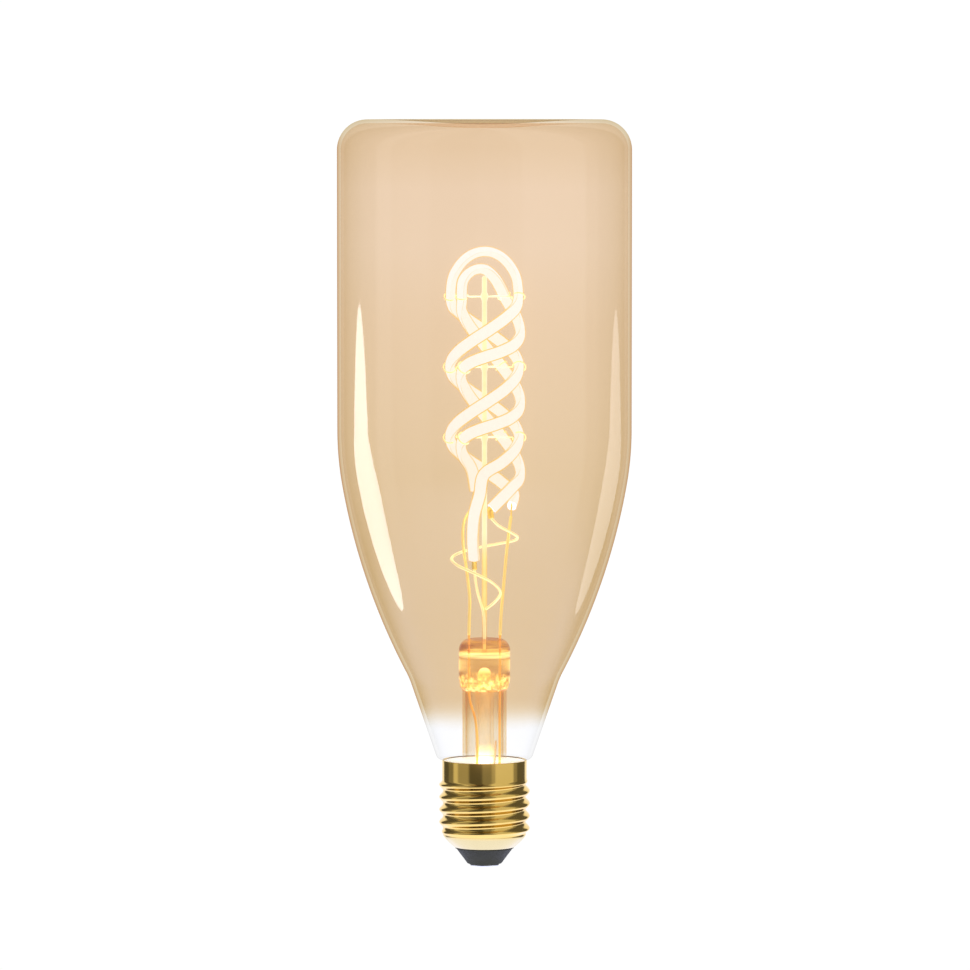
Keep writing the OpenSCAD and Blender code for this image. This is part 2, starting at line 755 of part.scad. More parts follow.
module wireless_module() {
    color([0.12, 0.3, 0.5])
    difference() {
        translate([-module_size[0] / 2, module_y, module_bottom_z]) cube(module_size);
        pin_holes(module_y - 1, module_y + module_size[1] + 1);
    }
}

module header_pins() {
    color([0.85, 0.72, 0.3])
    for (i = [0 : pin_count - 1])
        translate([pin_x(i), 0, pin_z])
            along_y(pin_r, board_y - pin_overhang, module_y + module_size[1] + pin_overhang);
}

module shield_can() {
    color([0.78, 0.79, 0.8])
    translate([-can_size[0] / 2, module_y + module_size[1], can_bottom_z])
    difference() {
        cube(can_size);
        translate([can_wall, -eps, can_wall])
            cube([can_size[0] - 2 * can_wall, can_size[1] - can_wall + eps, can_size[2] - 2 * can_wall]);
    }
}

module antenna_wire() { color([0.2, 0.2, 0.22]) wire(antenna_route, antenna_r, 2); }

module live_wire() { color([0.6, 0.15, 0.12]) wire(live_route, fine_wire_r, 2); }

module neutral_wire() { color([0.15, 0.3, 0.6]) wire(neutral_route, neutral_wire_r); }

module neutral_solder() {
    end = last_of(neutral_route);
    color([0.8, 0.81, 0.82])
    difference() {
        translate([solder_x, end[1], end[2]]) sphere(r = solder_r);
        translate(end) rotate([0, 90, 0]) cylinder(r = neutral_wire_r + fit_gap, h = solder_r, $fn = 32);
    }
}

glass_envelope();
stem_tube();
stem_head();
exhaust_tube();
centre_rod();
support_arms_top();
support_arms_middle();
support_arms_bottom();
inner_lead_left();
inner_lead_right();
seal_wire_left();
seal_wire_right();
outer_lead_left();
outer_lead_right();
link_post();
link_wire();
filament_1_strip();
filament_1_front_coat();
filament_1_back_coat();
filament_2_strip();
filament_2_front_coat();
filament_2_back_coat();
filament_tabs();
screw_shell();
cap_insulator();
end_contact();
contact_solder();
cap_cement();
insulating_liner();
driver_board();
bridge_rectifier();
driver_chip();
bulk_capacitor();
inductor_core();
inductor_winding();
fusible_resistor();
board_passives();
wireless_module();
header_pins();
shield_can();
antenna_wire();
live_wire();
neutral_wire();
neutral_solder();
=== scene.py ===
"""Looks for the bottle-shaped smart light bulb: smooth glass, lit filaments, fine wires and a brass cap
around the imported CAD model, in a plain white studio. Profiles and routes are in millimetres, like the
CAD source, and become metres when a mesh is made."""
import math

import bmesh
import bpy
import numpy as np
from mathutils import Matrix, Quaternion, Vector

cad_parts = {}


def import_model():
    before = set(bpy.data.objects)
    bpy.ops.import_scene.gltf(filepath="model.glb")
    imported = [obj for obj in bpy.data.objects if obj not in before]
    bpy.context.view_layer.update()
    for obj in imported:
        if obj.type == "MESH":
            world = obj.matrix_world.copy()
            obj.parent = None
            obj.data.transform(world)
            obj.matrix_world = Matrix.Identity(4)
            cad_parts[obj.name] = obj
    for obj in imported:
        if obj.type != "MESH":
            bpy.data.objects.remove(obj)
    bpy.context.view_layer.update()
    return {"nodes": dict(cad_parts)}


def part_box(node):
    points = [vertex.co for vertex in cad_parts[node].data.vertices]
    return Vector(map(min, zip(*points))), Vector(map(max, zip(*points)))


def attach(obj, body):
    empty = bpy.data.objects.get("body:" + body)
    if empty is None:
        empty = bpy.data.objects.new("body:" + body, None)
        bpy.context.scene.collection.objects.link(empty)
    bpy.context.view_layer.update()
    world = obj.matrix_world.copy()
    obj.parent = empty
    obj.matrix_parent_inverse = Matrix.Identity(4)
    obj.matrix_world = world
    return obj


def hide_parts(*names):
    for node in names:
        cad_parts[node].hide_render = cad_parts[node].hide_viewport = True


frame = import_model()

MM = 0.001


def mm_box(node):
    """A CAD node's lowest and highest corners in millimetres."""
    low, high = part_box(node)
    return low / MM, high / MM


GLASS_LOW, GLASS_HIGH = mm_box("glass_envelope")
SHELL_LOW, SHELL_HIGH = mm_box("screw_shell")
STEM_LOW, STEM_HIGH = mm_box("stem_tube")
HEAD_LOW, HEAD_HIGH = mm_box("stem_head")
ROD_LOW, ROD_HIGH = mm_box("centre_rod")
EXHAUST_LOW, EXHAUST_HIGH = mm_box("exhaust_tube")

# ---------- driving dimensions, millimetres and degrees ----------

LATHE_SIDES = 192
WIRE_SIDES = 16
CURVE_STEPS = 8
TURN_POINTS = 12

bulb_r = 42.5
bulb_top = GLASS_HIGH.z
wall = 1.1
corner_r = 8.7
dish_depth = 1.4
taper_top_z = 126.5
neck_r = 11.2
neck_bottom_z = GLASS_LOW.z
shoulder_z = 31.0
shoulder_fillet_r = 1.6
belly_arc = (92.0, -10.0)
taper_arc = (187.0, -27.6)
hollow_arc_r = 25.0
cone_angle = -19.0

helix_r = 10.0
inner_helix_r = 8.6
inner_helix_x = 1.8
helix_pitch = 40.7
level_top_z = 165.0
inner_phase_z = 154.8
inner_lift = 7.5
outer_rise = (114.0, 163.0)
outer_fall = (163.0, 107.5)
inner_rise = (109.0, 157.5)
inner_fall = (156.5, 108.5)
arch_rise = 13.0
arch_sway = 2.5
filament_w = 3.8
filament_t = 3.1
core_w = 3.2
core_t = 2.7
tab_w = 1.7
tab_t = 0.35
tab_straight = 0.7

rod_r = 0.75
bead_r = 1.15
bead_half_h = 1.6
arm_r = 0.2
hook_r = 1.9
hook_neck = 0.6
bead_inset = 0.45
lead_r = 0.45
post_r = 0.4

thread_crest_r = 13.15
thread_depth = 1.1
thread_pitch = 3.629
thread_bottom_z = 9.0
skirt_bottom_z = 25.4
skirt_r = 12.3
thread_fade = 1.7
foot_r = 8.7
foot_power = 1.35
mouth_r = 8.05
mouth_h = 0.55
sheet_t = 0.32

left_lead_route = [
    (-4.5, 0, 67), (-4.4, 0, 72), (-4.3, 0, 78), (-5.2, 0, 86), (-6.2, 0.3, 94), (-5.9, 3.4, 99.6),
    (-4, 6.8, 103), (-2.9, 8, 105.6),
]
right_lead_route = [
    (4.5, 0, 67), (4.9, 0, 74), (5.6, 0, 82), (6.3, 0, 90), (7.1, 0.1, 97), (7.7, 0.3, 101.4),
]
post_route = [(0, -1.5, 63), (0, -1.5, 70), (-0.4, -1.6, 74), (-2.2, -2.3, 80.5), (-2.9, -3, 86.2)]
link_route = [
    (2, -8.2, 101.4), (4.2, -8, 99.2), (7.6, -5.6, 97.2), (9.5, -1.4, 95.6), (8.7, 4, 94.2), (4.4, 7.9, 93),
    (-1.6, 8.8, 91.8), (-7, 6.2, 90.5), (-9.5, 0.6, 89.2), (-7.8, -5.2, 87.6), (-3, -8.4, 85.6), (2, -8, 83),
    (4.6, -5, 80), (3.4, -2.6, 77.2), (0.34, -1.6, 74.6),
]
filament_1_tail = [(-3, -3.3, 89), (-3.4, -4.8, 95), (-3, -7.2, 101.9), (-1.4, -9.3, 108.2)]
filament_1_end = (7.9, 0.7, 104.4)
filament_2_front_end = (2.1, -8.2, 104.2)
filament_2_left_end = (-2.6, 8, 108.6)
filament_2_arch = [
    (7.9, 5.2, 161.2), (6, 5.2, 164.4), (4.6, 3.8, 167.4), (2.8, 2, 170.4), (0, 0.2, 172.8),
    (-3.5, -1.6, 172.4), (-6.2, -3.6, 169.4),
]


# ---------- outlines and routes ----------

def direction(angle):
    """Unit vector at an angle in degrees, in the plane of a profile."""
    return np.array([math.cos(math.radians(angle)), math.sin(math.radians(angle))])


def arc(centre, radius, start, end, steps):
    """Points on an arc, both ends included."""
    return [tuple(centre + radius * direction(a)) for a in np.linspace(start, end, steps + 1)]


def glass_outline(t):
    """The envelope's outline from the axis at the top to the neck, moved in by t."""
    ring_r = bulb_r - corner_r
    belly_c = np.array([bulb_r - belly_arc[0], taper_top_z])
    taper_c = belly_c + (belly_arc[0] - taper_arc[0]) * direction(belly_arc[1])
    hollow_c = taper_c + (taper_arc[0] + hollow_arc_r) * direction(taper_arc[1])
    cone_top = hollow_c - hollow_arc_r * direction(cone_angle)
    fillet_z = shoulder_z + shoulder_fillet_r
    cone_end_z = fillet_z + shoulder_fillet_r * direction(cone_angle)[1]
    cone_end_r = cone_top[0] + (cone_top[1] - cone_end_z) * math.tan(math.radians(cone_angle))
    fillet_c = np.array([cone_end_r, cone_end_z]) - shoulder_fillet_r * direction(cone_angle)
    hollow = [
        tuple(hollow_c - (hollow_arc_r + t) * direction(a))
        for a in np.linspace(taper_arc[1], cone_angle, 11)[1:]
    ]
    dish = [
        (ring_r * s, bulb_top - t - dish_depth * (0.5 + 0.5 * math.cos(math.pi * s)))
        for s in np.linspace(0, 1, 25)
    ]
    return (
        dish[:-1]
        + arc(np.array([ring_r, bulb_top - corner_r]), corner_r - t, 90, 0, 24)
        + arc(belly_c, belly_arc[0] - t, 0, belly_arc[1], 12)
        + arc(taper_c, taper_arc[0] - t, belly_arc[1], taper_arc[1], 30)[1:]
        + hollow
        + arc(fillet_c, shoulder_fillet_r - t, cone_angle, -90, 10)
        + [(neck_r - t, shoulder_z + t), (neck_r - t, neck_bottom_z)]
    )


def curve(points, steps):
    """A smooth route through every point, with some steps between neighbours."""
    p = np.asarray(points, float)
    last = len(p) - 1
    out = []
    for i in range(last):
        a, b, c, d = p[max(i - 1, 0)], p[i], p[i + 1], p[min(i + 2, last)]
        for t in np.arange(steps) / steps:
            square = (2 * a - 5 * b + 4 * c - d) * t**2
            cube = (3 * b - a - 3 * c + d) * t**3
            out.append(0.5 * (2 * b + (c - a) * t + square + cube))
    return np.array(out + [p[last]])


def helix_run(z0, z1, radius, x, phase_z, start, lift=0.0):
    """Points along a helix; the lift raises its left side, so that its turns are tilted."""
    steps = round(abs(z1 - z0) / helix_pitch * TURN_POINTS)
    out = []
    for z in np.linspace(z0, z1, steps + 1):
        a = math.radians(start + 360 * (z - phase_z) / helix_pitch)
        out.append((x + radius * math.cos(a), radius * math.sin(a), z + lift * (1 - math.cos(a)) / 2))
    return out


def filament_1_route():
    """Up one side of the outer helix, over the arch and down the other side."""
    arch = [
        (helix_r * math.cos(s), arch_sway * math.sin(2 * s), level_top_z + arch_rise * math.sin(s))
        for s in np.radians(np.arange(20, 161, 20))
    ]
    return (
        filament_1_tail
        + helix_run(*outer_rise, helix_r, 0, level_top_z, 0)
        + arch
        + helix_run(*outer_fall, helix_r, 0, level_top_z, 180)
        + [filament_1_end]
    )


def filament_2_route():
    """The same for the inner helix, whose turns are tilted."""
    return (
        [filament_2_front_end]
        + helix_run(*inner_rise, inner_helix_r, inner_helix_x, inner_phase_z, 0, inner_lift)
        + filament_2_arch
        + helix_run(*inner_fall, inner_helix_r, inner_helix_x, inner_phase_z, 180, inner_lift)
        + [filament_2_left_end]
    )


def unit(v):
    """The vector at length one."""
    return v / np.linalg.norm(v)


def tangents(path):
    """The path's direction at each of its points."""
    last = len(path) - 1
    return np.array([unit(path[min(i + 1, last)] - path[max(i - 1, 0)]) for i in range(last + 1)])


def square_to(v, t):
    """The part of v that is at right angles to t, as a unit vector."""
    return unit(v - np.dot(v, t) * t)


def outward_normals(path, axis_x):
    """Normals that face away from the helix's axis, and upwards over the arch."""
    return np.array([
        square_to(np.array([p[0] - axis_x, p[1], max(p[2] - level_top_z, 0)]), t)
        for p, t in zip(path, tangents(path))
    ])


def carried_normals(path, first=None):
    """Normals carried along the path without twist."""
    tans = tangents(path)
    if first is None:
        first = np.array([1.0, 0, 0]) if abs(tans[0][0]) < 0.8 else np.array([0, 1.0, 0])
    out = []
    for t in tans:
        first = square_to(first, t)
        out.append(first)
    return np.array(out)


# ---------- mesh makers ----------

def make_mesh(name, points, faces):
    """A smooth-shaded mesh object from points in millimetres, with its faces turned outwards."""
    mesh = bpy.data.meshes.new(name)
    mesh.from_pydata([tuple(np.asarray(p) * MM) for p in points], [], faces)
    bm = bmesh.new()
    bm.from_mesh(mesh)
    bmesh.ops.recalc_face_normals(bm, faces=bm.faces)
    for face in bm.faces:
        face.smooth = True
    bm.to_mesh(mesh)
    bm.free()
    obj = bpy.data.objects.new(name, mesh)
    bpy.context.scene.collection.objects.link(obj)
    return obj


def ring_faces(a, b):
    """Faces between two rings of point numbers; a ring of one number is a point on the axis."""
    n = max(len(a), len(b))
    if len(a) == 1:
        return [(a[0], b[j], b[(j + 1) % n]) for j in range(n)]
    if len(b) == 1:
        return [(a[j], b[0], a[(j + 1) % n]) for j in range(n)]
    return [(a[j], b[j], b[(j + 1) % n], a[(j + 1) % n]) for j in range(n)]


def lathe(name, profile, sides=LATHE_SIDES, closed=False):
    """Turns a profile of (radius, height) about the Z axis; closed joins its last point to its first."""
    points = []
    rings = []
    angles = 2 * np.pi * np.arange(sides) / sides
    for r, z in profile:
        start = len(points)
        if r < 1e-6:
            points.append((0, 0, z))
            rings.append([start])
        else:
            points.extend((r * math.cos(a), r * math.sin(a), z) for a in angles)
            rings.append(list(range(start, start + sides)))
    pairs = list(zip(rings, rings[1:]))
    if closed:
        pairs.append((rings[-1], rings[0]))
    faces = [f for a, b in pairs for f in ring_faces(a, b)]
    return make_mesh(name, points, faces)


def sweep(name, path, normals, outline):
    """Sweeps an outline of (width, outward) points along a path, with closed ends."""
    points = []
    for p, n, t in zip(path, normals, tangents(path)):
        across = np.cross(n, t)
        points.extend(p + w * across + o * n for w, o in outline)
    m = len(outline)
    rings = [list(range(i * m, (i + 1) * m)) for i in range(len(path))]
    faces = [f for a, b in zip(rings, rings[1:]) for f in ring_faces(a, b)]
    faces += [tuple(rings[0]), tuple(rings[-1])]
    return make_mesh(name, points, faces)


def fuller(value):
    """A sine or cosine pushed outwards, which makes an oval fuller than an ellipse."""
    return math.copysign(abs(value) ** 0.8, value)


def oval(width, thickness, sides):
    """A soft oval outline."""
    angles = 2 * np.pi * np.arange(sides) / sides
    return [(width / 2 * fuller(math.cos(a)), thickness / 2 * fuller(math.sin(a))) for a in angles]


def wire(name, route, radius):
    """A round wire along a route."""
    path = curve(route, CURVE_STEPS)
    return sweep(name, path, carried_normals(path), round_outline(radius, WIRE_SIDES))


def round_outline(radius, sides):
    """A round wire's outline."""
    return [tuple(radius * direction(360 * i / sides)) for i in range(sides)]


def join(name, parts):
    """Joins mesh objects into one."""
    bpy.ops.object.select_all(action="DESELECT")
    for part in parts:
        part.select_set(True)
    bpy.context.view_layer.objects.active = parts[0]
    bpy.ops.object.join()
    parts[0].name = name
    parts[0].data.name = name
    return parts[0]


def paint_rings(obj, material, first, last, sides):
    """Gives the faces between two rings of a lathed piece a second material."""
    obj.data.materials.append(material)
    for face in obj.data.polygons[first * sides:last * sides]:
        face.material_index = len(obj.data.materials) - 1


def place(obj, material, slot, *nodes):
    """Gives a piece its material and its body, and hides the CAD nodes that it stands for; slot is not used.
    """
    obj.data.materials.clear()
    obj.data.materials.append(material)
    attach(obj, "root")
    if nodes:
        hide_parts(*nodes)
    return obj


# ---------- material helpers ----------

def fill_ramp(ramp, stops):
    """Sets a colour ramp's stops, each a place from 0 to 1 and a colour."""
    while len(ramp.elements) < len(stops):
        ramp.elements.new(0.5)
    for element, (where, colour) in zip(ramp.elements, stops):
        element.position = where
        element.color = (*colour, 1)


class Graph:
    """A material's node graph, with short calls for the nodes used here."""

    def __init__(self, name):
        self.material = bpy.data.materials.new(name)
        self.material.use_nodes = True
        self.nodes = self.material.node_tree.nodes
        self.links = self.material.node_tree.links
        self.nodes.clear()
        self.output = self.nodes.new("ShaderNodeOutputMaterial")

    def add(self, kind, **sockets):
        """A node with its input sockets set: a socket as value links it, anything else is its constant."""
        node = self.nodes.new(kind)
        for key, value in sockets.items():
            self.put(node, key.replace("_", " "), value)
        return node

    def put(self, node, key, value):
        """Links or sets one input socket, given by its name or number."""
        socket = node.inputs[int(key) if key.isdigit() else key]
        if isinstance(value, bpy.types.NodeSocket):
            self.links.new(value, socket)
        else:
            socket.default_value = value

    def end(self, shader):
        """Makes the shader the material's surface and gives the finished material."""
        self.links.new(shader, self.output.inputs["Surface"])
        return self.material

    def place(self):
        """Object coordinates, in metres."""
        return self.add("ShaderNodeTexCoord").outputs["Object"]

    def noise(self, scale, detail=3.0, stretch=None):
        """Noise in object space; stretch scales the axes."""
        where = self.place()
        if stretch is not None:
            mapping = self.add("ShaderNodeMapping", Vector=where, Scale=stretch)
            where = mapping.outputs["Vector"]
        node = self.add("ShaderNodeTexNoise", Vector=where, Scale=scale, Detail=detail)
        return node.outputs["Fac"]

    def height(self, low, high):
        """0 at the height low and 1 at high, both in millimetres, with soft ends."""
        split = self.add("ShaderNodeSeparateXYZ", Vector=self.place())
        node = self.add("ShaderNodeMapRange", Value=split.outputs["Z"])
        node.interpolation_type = "SMOOTHSTEP"
        self.put(node, "From Min", low * MM)
        self.put(node, "From Max", high * MM)
        return node.outputs["Result"]

    def reach(self, low, high):
        """0 at the distance low from the axis and 1 at high, both in millimetres."""
        flat = self.add("ShaderNodeVectorMath", **{"0": self.place(), "1": (1, 1, 0)})
        flat.operation = "MULTIPLY"
        length = self.add("ShaderNodeVectorMath", **{"0": flat.outputs["Vector"]})
        length.operation = "LENGTH"
        node = self.add("ShaderNodeMapRange", Value=length.outputs["Value"])
        self.put(node, "From Min", low * MM)
        self.put(node, "From Max", high * MM)
        return node.outputs["Result"]

    def span(self, value, low, high):
        """Maps 0..1 to low..high."""
        node = self.add("ShaderNodeMapRange", Value=value)
        self.put(node, "To Min", low)
        self.put(node, "To Max", high)
        return node.outputs["Result"]

    def contrast(self, value, low, high):
        """0 below low, 1 above high, with soft ends."""
        node = self.add("ShaderNodeMapRange", Value=value)
        node.interpolation_type = "SMOOTHSTEP"
        self.put(node, "From Min", low)
        self.put(node, "From Max", high)
        return node.outputs["Result"]

    def facing(self, power):
        """0 where glass is seen face on, 1 where it's seen edge on."""
        return self.math("POWER", self.add("ShaderNodeLayerWeight", Blend=0.5).outputs["Facing"], power)

    def math(self, operation, a, b):
        """The result of one sum; a and b are sockets or numbers."""
        node = self.nodes.new("ShaderNodeMath")
        node.operation = operation
        self.put(node, "0", a)
        self.put(node, "1", b)
        return node.outputs[0]

    def mix(self, factor, a, b):
        """Between two shaders."""
        node = self.add("ShaderNodeMixShader", Fac=factor)
        self.links.new(a, node.inputs[1])
        self.links.new(b, node.inputs[2])
        return node.outputs[0]

    def plus(self, a, b):
        """The sum of two shaders."""
        node = self.nodes.new("ShaderNodeAddShader")
        self.links.new(a, node.inputs[0])
        self.links.new(b, node.inputs[1])
        return node.outputs[0]

    def tiers(self, stops):
        """A colour that follows the height; each stop is a height in millimetres and a colour."""
        low, high = stops[0][0], stops[-1][0]
        split = self.add("ShaderNodeSeparateXYZ", Vector=self.place())
        share = self.add("ShaderNodeMapRange", Value=split.outputs["Z"])
        self.put(share, "From Min", low * MM)
        self.put(share, "From Max", high * MM)
        node = self.add("ShaderNodeValToRGB", Fac=share.outputs[0])
        fill_ramp(node.color_ramp, [((z - low) / (high - low), colour) for z, colour in stops])
        return node.outputs["Color"]

    def blend(self, factor, a, b):
        """A colour between a and b."""
        node = self.nodes.new("ShaderNodeMix")
        node.data_type = "RGBA"
        for index, value in ((0, factor), (6, a), (7, b)):
            if isinstance(value, bpy.types.NodeSocket):
                self.links.new(value, node.inputs[index])
            else:
                node.inputs[index].default_value = value if index == 0 else (*value, 1.0)
        return node.outputs[2]

    def bump(self, height, strength, distance):
        """A bump normal; distance is in metres."""
        node = self.add("ShaderNodeBump", Height=height, Strength=strength, Distance=distance)
        return node.outputs["Normal"]


def grained(name, dark, light, roughness, metallic=0.0, scale=2500.0, bump=0.15, stretch=None, coat=0.0,
            specular=0.5, glow=0.0):
    """A surface whose colour, gloss and relief vary with a fine grain; glow is painted light from the
    filaments, given as emission.
    """
    g = Graph(name)
    grain = g.noise(scale, 4.0, stretch)
    patches = g.noise(scale / 12, 2.0)
    shader = g.add(
        "ShaderNodeBsdfPrincipled",
        Base_Color=g.blend(patches, dark, light),
        Roughness=g.span(grain, roughness * 0.8, roughness * 1.25),
        Metallic=metallic,
        Normal=g.bump(grain, bump, 0.05 * MM),
    )
    shader.inputs["Specular IOR Level"].default_value = specular
    shader.inputs["Emission Color"].default_value = (*light, 1)
    shader.inputs["Emission Strength"].default_value = glow
    if coat:
        shader.inputs["Coat Weight"].default_value = coat
        shader.inputs["Coat Roughness"].default_value = 0.08
    return g.end(shader.outputs["BSDF"])


# ---------- materials ----------

# The envelope's tint by height for each surface seen face on, and for the outside seen edge on.
AMBER_FACE = [
    (49, (0.922, 0.850, 0.730)), (72, (0.922, 0.850, 0.733)), (90, (0.926, 0.855, 0.743)),
    (107, (0.936, 0.867, 0.766)), (130, (0.945, 0.876, 0.783)), (156, (0.953, 0.883, 0.797)),
    (179, (0.962, 0.896, 0.822)), (196, (0.961, 0.894, 0.820)), (208, (0.947, 0.875, 0.788)),
]
EDGE_SHARE = (0.82, 0.79, 0.66)
AMBER_EDGE = [(z, tuple(c * share for c, share in zip(face, EDGE_SHARE))) for z, face in AMBER_FACE]
CLEAR_FACE = (0.990, 0.991, 0.992)
CLEAR_EDGE = (0.922, 0.925, 0.933)
CLEAR_UP_TO = 39.5
AMBER_FROM = 48.0


def film(g, tint, limit, roughness=0.04, normal=None):
    """Thin glass: a tinted see-through sheet with a Fresnel gloss of at most the limit, from outside."""
    clear = g.add("ShaderNodeBsdfTransparent", Color=tint)
    gloss = g.add("ShaderNodeBsdfAnisotropic", Color=(1, 1, 1, 1), Roughness=roughness)
    fresnel = g.add("ShaderNodeFresnel", IOR=1.46)
    if normal is not None:
        g.put(gloss, "Normal", normal)
        g.put(fresnel, "Normal", normal)
    outside = g.math("SUBTRACT", 1.0, g.add("ShaderNodeNewGeometry").outputs["Backfacing"])
    share = g.math("MULTIPLY", g.math("MINIMUM", fresnel.outputs[0], limit), outside)
    return g.mix(share, clear.outputs[0], gloss.outputs[0])


def amber_glass():
    """The outside of the envelope: amber, clear at the neck, and darker where it's seen edge on."""
    g = Graph("amber_glass")
    edge = g.facing(2.2)
    amber = g.blend(edge, g.tiers(AMBER_FACE), g.tiers(AMBER_EDGE))
    clear = g.blend(edge, CLEAR_FACE, CLEAR_EDGE)
    dark_line = g.blend(g.height(CLEAR_UP_TO, AMBER_FROM), (0.80, 0.80, 0.80), (0.65, 0.38, 0.15))
    below_top = g.math("MULTIPLY", g.facing(8.0), g.height(bulb_top - 3.5, bulb_top - 9.0))
    tint = g.blend(below_top, g.blend(g.height(CLEAR_UP_TO, AMBER_FROM), clear, amber), dark_line)
    ripple = g.bump(g.noise(45.0, 1.0), 0.03, 1.0 * MM)
    return g.end(film(g, tint, 0.06, 0.05, ripple))


def amber_glass_inside():
    """The inside of the envelope: the tint alone."""
    g = Graph("amber_glass_inside")
    tint = g.blend(g.height(CLEAR_UP_TO, AMBER_FROM), CLEAR_FACE, g.tiers(AMBER_FACE))
    return g.end(g.add("ShaderNodeBsdfTransparent", Color=tint).outputs[0])


def stem_glass():
    """The stem's thin tube: grey and warm in streaks, with painted filament glow in its warm streaks and
    golden edges, and clear at its flared foot.
    """
    g = Graph("stem_glass")
    streaks = g.noise(160.0, 3.0, (1.0, 1.0, 0.22))
    # Painted glow: the warm streaks and golden edges stand in for the filaments' light in clear glass.
    body = g.blend(g.span(streaks, -0.5, 1.5), (0.96, 0.945, 0.935), (0.975, 0.90, 0.72))
    tube = g.blend(g.facing(2.5), body, (0.92, 0.66, 0.24))
    tint = g.blend(g.height(30.5, 33.5), (0.985, 0.985, 0.985), tube)
    return g.end(film(g, tint, 0.25, 0.05, g.bump(streaks, 0.3, 0.6 * MM)))


def head_glass():
    """The thick head, full of painted filament light: a warm painted tint, dark painted stripes at the top
    and dark painted edges, a painted bright band, painted gold flanks and painted sparkle where it is
    crumpled at its foot.
    """
    g = Graph("head_glass")
    stripes = g.contrast(g.noise(260.0, 2.0, (0.3, 0.3, 4.0)), 0.42, 0.60)
    crumples = g.contrast(g.noise(650.0, 3.0), 0.46, 0.62)
    # Painted glow: a warm tint by height stands in for the filaments' light.
    tint = g.tiers([
        (51, (0.97, 0.84, 0.50)), (55, (0.95, 0.80, 0.50)), (60, (0.96, 0.84, 0.56)),
        (62, (0.98, 0.88, 0.56)), (63, (0.96, 0.80, 0.44)), (66, (0.94, 0.72, 0.34)),
    ])
    # Painted shade: dark orange stripes at the top.
    painted_dark_stripes = g.math("MULTIPLY", stripes, g.span(g.height(62.2, 63.0), 0.15, 0.75))
    tint = g.blend(painted_dark_stripes, tint, (0.62, 0.32, 0.06))
    # Painted shade: dark orange towards the edges.
    tint = g.blend(g.facing(2.6), tint, (0.66, 0.34, 0.08))
    # Painted light: a glow by height, with a bright band.
    painted_glow_colour = g.tiers([
        (51, (0.30, 0.20, 0.05)), (54.6, (0.34, 0.23, 0.06)), (55.4, (0.05, 0.03, 0.0)),
        (60.5, (0.05, 0.03, 0.0)), (60.9, (0.95, 0.82, 0.44)), (62.1, (1.0, 0.88, 0.50)),
        (62.5, (0.10, 0.06, 0.01)), (66, (0.14, 0.09, 0.02)),
    ])
    glow = g.add("ShaderNodeEmission", Color=painted_glow_colour, Strength=g.span(stripes, 0.9, 0.45))
    # Painted sparkle where the foot is crumpled.
    foot = g.math("MULTIPLY", g.span(crumples, 0.0, 0.8), g.height(55.6, 54.6))
    painted_sparkle = g.add("ShaderNodeEmission", Color=(1.0, 0.84, 0.46, 1), Strength=foot)
    # Painted glow: gold on the flanks.
    gold = (0.9, 0.74, 0.38)
    sides = g.tiers([(56.2, (0, 0, 0)), (57.2, gold), (59.6, gold), (60.6, (0, 0, 0))])
    painted_flank_glow = g.add("ShaderNodeEmission", Color=sides, Strength=g.facing(1.6))
    body = film(g, tint, 0.3, 0.03, g.bump(stripes, 0.35, 0.5 * MM))
    light = g.plus(g.plus(glow.outputs[0], painted_sparkle.outputs[0]), painted_flank_glow.outputs[0])
    return g.end(g.plus(body, light))


def hollow_glass():
    """The domed end of the exhaust bore inside the head, with a painted highlight glowing on it."""
    g = Graph("hollow_glass")
    # Painted highlight, given as emission by height.
    painted_glow_colour = g.tiers([
        (55.4, (0.30, 0.20, 0.10)), (56.3, (0.75, 0.60, 0.35)), (57.0, (1.0, 0.95, 0.85)),
        (57.5, (0.9, 0.8, 0.6)),
    ])
    glow = g.add("ShaderNodeEmission", Color=painted_glow_colour, Strength=g.span(g.noise(500.0), 0.7, 1.1))
    body = film(g, (0.97, 0.90, 0.78, 1), 0.3)
    return g.end(g.plus(body, glow.outputs[0]))


def exhaust_glass():
    """The exhaust tube, with a painted bright glow at its sealed tip and painted golden edges."""
    g = Graph("exhaust_glass")
    grain = g.noise(420.0, 3.0, (1.0, 1.0, 0.6))
    # Painted glow: golden towards the edges.
    tint = g.blend(g.facing(2.5), (0.985, 0.97, 0.95), (0.95, 0.80, 0.50))
    # Painted glow: bright at the sealed tip.
    painted_glow_colour = g.tiers([
        (32.5, (0.70, 0.58, 0.32)), (34.0, (0.36, 0.26, 0.10)), (35.5, (0.07, 0.05, 0.02)),
        (56, (0.10, 0.06, 0.01)),
    ])
    glow = g.add("ShaderNodeEmission", Color=painted_glow_colour, Strength=g.span(grain, -0.4, 1.6))
    body = film(g, tint, 0.25, 0.05, g.bump(grain, 0.3, 0.4 * MM))
    return g.end(g.plus(body, glow.outputs[0]))


def rod_glass():
    """The centre rod, with a painted glow along its length: almost white among the filaments, golden below
    them.
    """
    g = Graph("rod_glass")
    # Painted glow: these colours and their edges stand in for the filaments' light.
    low = g.blend(g.facing(0.7), (1.0, 0.96, 0.42), (1.0, 0.52, 0.12))
    high = g.blend(g.facing(1.0), (1.0, 0.95, 0.62), (1.0, 0.98, 0.92))
    colour = g.blend(g.height(88, 96), low, high)
    glow = g.add("ShaderNodeEmission", Color=colour, Strength=g.span(g.noise(300.0), 1.15, 1.45))
    glow_share = g.span(g.height(66, 78), 0.08, 0.95)
    body = film(g, (0.98, 0.93, 0.84, 1), 0.2)
    return g.end(g.mix(glow_share, body, glow.outputs[0]))


def unlit(material):
    """Glows to the eye only, so that it adds no noise as a lamp."""
    material.cycles.emission_sampling = "NONE"
    return material


